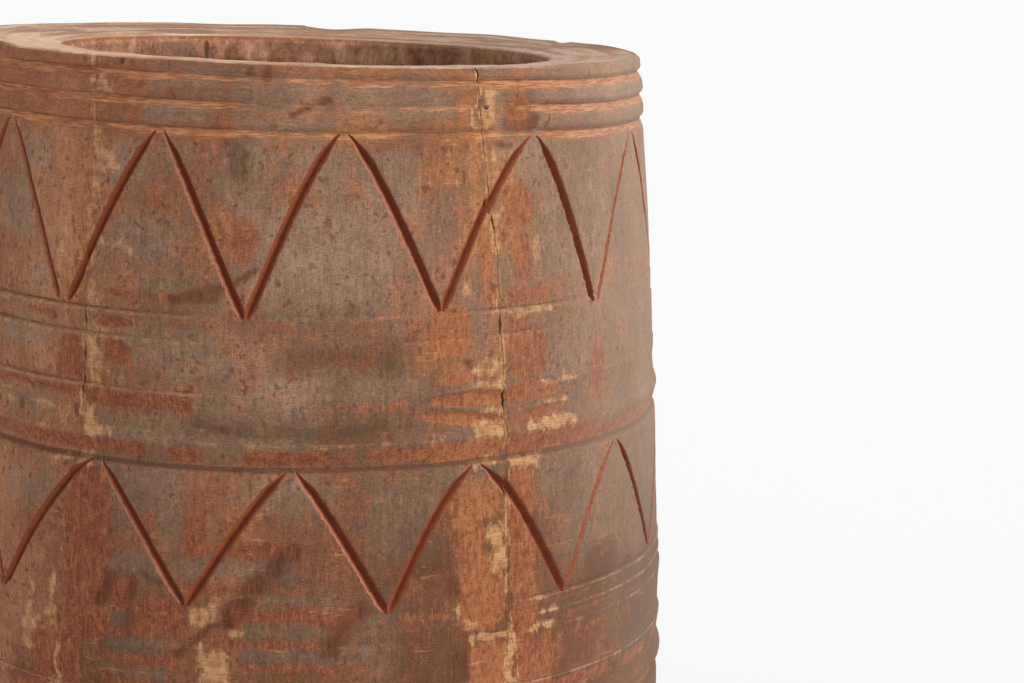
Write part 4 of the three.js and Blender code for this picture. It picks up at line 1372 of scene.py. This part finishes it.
# The photo's camera, in metres and degrees
CAMERA_PLACE = (0.0, -1.2029, 0.50425)
CAMERA_YAW = 4.523
CAMERA_PITCH = 10.416
CAMERA_ROLL = 1.0
FOCAL_PIXELS = 2650.3
PHOTO_WIDTH = 1024
SENSOR_WIDTH = 36.0
FLOOR_RADIUS = 16.0
FLOOR_SIDES = 96
FLOOR_COLOUR = (0.8, 0.8, 0.8, 1)
FLOOR_GLOW = 0.2  # added for the camera only, so that the floor reads white
WHITE = (1, 1, 1, 1)


def add_camera():
    yaw = math.radians(CAMERA_YAW)
    pitch = math.radians(CAMERA_PITCH)
    roll = math.radians(CAMERA_ROLL)
    ahead = Vector((math.sin(yaw) * math.cos(pitch), math.cos(yaw) * math.cos(pitch), -math.sin(pitch)))
    level = Vector((math.cos(yaw), -math.sin(yaw), 0))
    up = level.cross(ahead)
    right = math.cos(roll) * level + math.sin(roll) * up
    above = -math.sin(roll) * level + math.cos(roll) * up
    data = bpy.data.cameras.new("photo_camera")
    data.sensor_width = SENSOR_WIDTH
    data.lens = FOCAL_PIXELS * SENSOR_WIDTH / PHOTO_WIDTH
    data.clip_start = 0.01
    data.clip_end = 50
    camera = scene_object("photo_camera", data)
    turned = Matrix((right, above, -ahead)).transposed().to_4x4()
    camera.matrix_world = Matrix.Translation(CAMERA_PLACE) @ turned
    bpy.context.scene.camera = camera


def add_sun(name, azimuth, elevation, spread, strength):
    """An even, soft light from one direction, in degrees from the front towards +X and above the floor."""
    data = bpy.data.lights.new(name, "SUN")
    data.energy = strength
    data.angle = math.radians(spread)
    light = scene_object(name, data)
    turn = math.radians(azimuth)
    rise = math.radians(elevation)
    source = Vector((math.cos(rise) * math.sin(turn), -math.cos(rise) * math.cos(turn), math.sin(rise)))
    light.location = 2 * source
    light.rotation_euler = source.to_track_quat("Z", "Y").to_euler()


def add_world(strength):
    """White to the camera and in reflections, and a soft even light on the vessel."""
    world = bpy.data.worlds.new("studio")
    world.use_nodes = True
    tree = world.node_tree
    soft = tree.nodes["Background"]
    soft.inputs["Color"].default_value = WHITE
    soft.inputs["Strength"].default_value = strength
    white = add_node(tree, "Background", "Background", {"Color": WHITE, "Strength": 1.0})
    rays = tree.nodes.new("ShaderNodeLightPath")
    seen = rays.outputs["Is Camera Ray"]
    for kind in ("Is Glossy Ray", "Is Transmission Ray"):
        seen = add_node(tree, "Math", 0, {0: seen, 1: rays.outputs[kind]}, operation="MAXIMUM")
    both = add_node(tree, "MixShader", "Shader", {"Fac": seen, 1: soft.outputs["Background"], 2: white})
    tree.links.new(both, tree.nodes["World Output"].inputs["Surface"])
    bpy.context.scene.world = world


def add_floor():
    """A wide pale floor that keeps the vessel's shadow and passes into white."""
    points = [(0, 0, 0)]
    for k in range(FLOOR_SIDES):
        turn = 2 * math.pi * k / FLOOR_SIDES
        points.append((FLOOR_RADIUS * math.cos(turn), FLOOR_RADIUS * math.sin(turn), 0))
    mesh = bpy.data.meshes.new("floor")
    mesh.from_pydata(points, [], [(0, 1 + k, 1 + (k + 1) % FLOOR_SIDES) for k in range(FLOOR_SIDES)])
    p = Paint("floor_white")
    glow = p.scaled(p.node("LightPath", "Is Camera Ray", {}), FLOOR_GLOW)
    p.finish(Base_Color=FLOOR_COLOUR, Roughness=0.9, Specular_IOR_Level=0.0)
    mesh.materials.append(p.finish(Emission_Color=WHITE, Emission_Strength=glow))
    floor = scene_object("floor", mesh)


build_vessel()
add_camera()
bpy.context.scene.view_settings.view_transform = "Standard"
add_world(0.5)
add_sun("key", azimuth=62, elevation=40, spread=35, strength=2.2)
add_floor()
